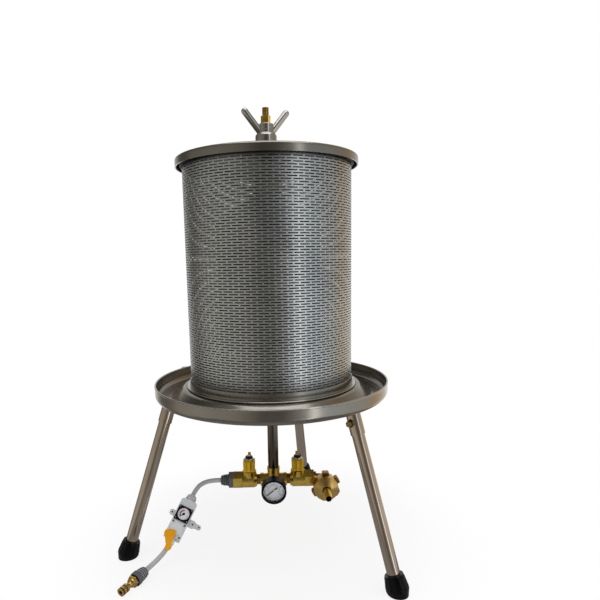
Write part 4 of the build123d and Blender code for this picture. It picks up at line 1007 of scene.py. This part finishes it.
class PRESS_OT_small_rings(bpy.types.Operator):
    """Handle nuts' collars, connector's face seal, glands' ribs, lid's seal lip and tray's rolled rim"""
    bl_idname = "press.small_rings"
    bl_label = "Small rings"

    def execute(self, context):
        collar = [(8.2, 0.0), (10.2, 0.0), (10.2, 0.8), (9.0, 3.2), (8.2, 3.4)]
        for valve in ("inlet", "drain"):
            low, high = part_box(valve + "_handle_nut")
            at = Matrix.Translation(((low.x + high.x) / 2, (low.y + high.y) / 2, low.z))
            washer = turned(valve + "_handle_washer", collar, "zinc_plate", 40, at)
            settle(washer, valve + "_handle_body", "dark_steel")
        end = Vector(LOWER_ROUTE[-1])
        along = (end - Vector(LOWER_ROUTE[-2])).normalized()
        tap = Matrix.Translation(end) @ along.to_track_quat("Z", "Y").to_matrix().to_4x4()
        seal = [(12.14, 30.0), (12.34, 30.0), (12.34, 31.5), (12.14, 31.5)]
        settle(turned("connector_face_seal", seal, "moulded_rubber", 48, tap), "base", "black_rubber")
        # Rounded ribs on the grips of the two glands
        mouth = Matrix.Translation(UPPER_ROUTE[0]) @ Matrix.Rotation(pi / 2, 4, "Y")
        count = 4
        for gland, at, grip, wide, narrow, finish in (
                ("inlet", mouth, 18.0, 12.5, 8.0, "glass_filled_nylon"),
                ("connector", tap, 19.0, 11.8, 7.0, "paler_nylon")):
            for index in range(count):
                share = (index + 0.5) / count
                reach = narrow + (wide - narrow) * sqrt(1 - share ** 2) - 0.3
                rib = oval(reach, grip * (1 - share), 1.0, 1.4, 12)
                made = turned("%s_gland_rib_%d" % (gland, index), rib, finish, 40, at)
                settle(made, "base", "grey_plastic")
        # Rubber lip of the lid's seal, against the inside of the lid's edge
        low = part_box("press_lid")[0]
        wall = -low.x / MM - 2.1
        lip = [(wall - 1.4, 1.6), (wall - 0.6, 1.0), (wall, 1.6), (wall, 11.8), (wall - 0.9, 13.8),
               (wall - 2.9, 14.7), (wall - 5.5, 14.7), (wall - 5.5, 13.0), (wall - 1.4, 13.0)]
        liner = turned("lid_seal_lip", lip, "moulded_rubber", 160, Matrix.Translation((0, 0, low.z)))
        settle(liner, "lid", "black_rubber")
        # Rolled rim of the tray, finely turned so that its highlight is one clean line
        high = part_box("juice_tray")[1]
        thick = 1.8
        bead = oval(high.x / MM - thick, high.z / MM - 1.6, thick, thick, 20)
        settle(turned("tray_rolled_rim", bead, "polished_stainless", 256), "base", "satin_stainless")
        return {"FINISHED"}


class PRESS_OT_legs(bpy.types.Operator):
    """Ribbed grips round the rubber feet, and weld beads where the leg sockets leave the tray"""
    bl_idname = "press.legs"
    bl_label = "Legs"

    def execute(self, context):
        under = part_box("juice_tray")[0].z
        stance = LEG_CIRCLE + under * tan(LEG_SPLAY)
        lean = Matrix.Rotation(-LEG_SPLAY, 4, "Y")
        for index, leg in enumerate(leg_frames(stance, 0)):
            settle(self.ribs("foot_ribs_%d" % index, leg @ lean), "base", "black_rubber")
        for index, leg in enumerate(leg_frames(LEG_CIRCLE, under)):
            settle(self.bead("leg_weld_%d" % index, leg), "base", "satin_stainless")
        return {"FINISHED"}

    def ribs(self, name, at):
        """Rounded ribs down the cone of one foot, on a skin that starts inside its rubber."""
        count = 12
        columns = 240
        proud = 0.0008
        skin_rise = 0.00005
        low, low_radius = 0.0090, 0.0220
        high, high_radius = 0.0370, 0.0175
        # Heights, with the share of the rib's full rise; None is inside the rubber
        inside = -0.0003
        skin = [(0.0110, None), (0.0116, 0.4), (0.0135, 1.0), (0.0330, 1.0), (0.0350, 0.4), (0.0356, None)]

        def place(row, share):
            turn = row / columns
            height, full = skin[round(share * len(skin))]
            rise = inside
            if full is not None:
                rise = skin_rise + proud * full * max(0.0, cos(count * turn * tau)) ** 0.7
            cone = low_radius + (high_radius - low_radius) * (height - low) / (high - low)
            return at @ round_point(cone + rise, turn, height)

        return wrapped(name, columns, len(skin), place, "vulcanised_rubber")

    def bead(self, name, at):
        """Rippled bead in the corner below the tray, round a splayed socket and so along an oval."""
        radius = 0.0147
        thick = 0.0016
        steps = 96
        ripples = 24

        def place(row, share):
            turn = row / steps * tau
            angle = share * tau
            swell = thick * (1 + 0.12 * sin(ripples * turn))
            out = swell * cos(angle)
            down = swell * 0.9 * (sin(angle) + 0.2)
            return at @ Vector(((radius / cos(LEG_SPLAY) + out) * cos(turn),
                                (radius + out) * sin(turn), -down))

        return wrapped(name, steps, 10, place, "drawn_stainless")


class PRESS_PT_panel(bpy.types.Panel):
    """Sidebar panel with the press's pieces and sizes"""
    bl_idname = "PRESS_PT_panel"
    bl_label = "Fruit press"
    bl_space_type = "VIEW_3D"
    bl_region_type = "UI"
    bl_category = "Press"

    def draw(self, context):
        for group in GROUPS:
            values = getattr(context.scene, group)
            box = self.layout.box()
            for name in values.__annotations__:
                box.prop(values, name)
        for operator in OPERATORS:
            self.layout.operator(operator.bl_idname)


GROUPS = {
    "press_cage": PressCageSizes,
    "press_soft": PressSoftSizes,
    "press_colours": PressColours,
    "press_stage": PressStage,
}
OPERATORS = (
    PRESS_OT_finishes,
    PRESS_OT_stage,
    PRESS_OT_hoses,
    PRESS_OT_cage,
    PRESS_OT_bladder,
    PRESS_OT_column,
    PRESS_OT_wing_nut,
    PRESS_OT_union_nut,
    PRESS_OT_gauge_print,
    PRESS_OT_regulator_trim,
    PRESS_OT_small_rings,
    PRESS_OT_legs,
)


def register():
    for name, group in GROUPS.items():
        bpy.utils.register_class(group)
        setattr(bpy.types.Scene, name, bpy.props.PointerProperty(type=group))
    for operator in OPERATORS:
        bpy.utils.register_class(operator)
    bpy.utils.register_class(PRESS_PT_panel)


def unregister():
    bpy.utils.unregister_class(PRESS_PT_panel)
    for operator in reversed(OPERATORS):
        bpy.utils.unregister_class(operator)
    for name, group in reversed(GROUPS.items()):
        delattr(bpy.types.Scene, name)
        bpy.utils.unregister_class(group)


def main():
    register()
    for operator in OPERATORS:
        family, name = operator.bl_idname.split(".")
        getattr(getattr(bpy.ops, family), name)()


if __name__ == "__main__":
    main()
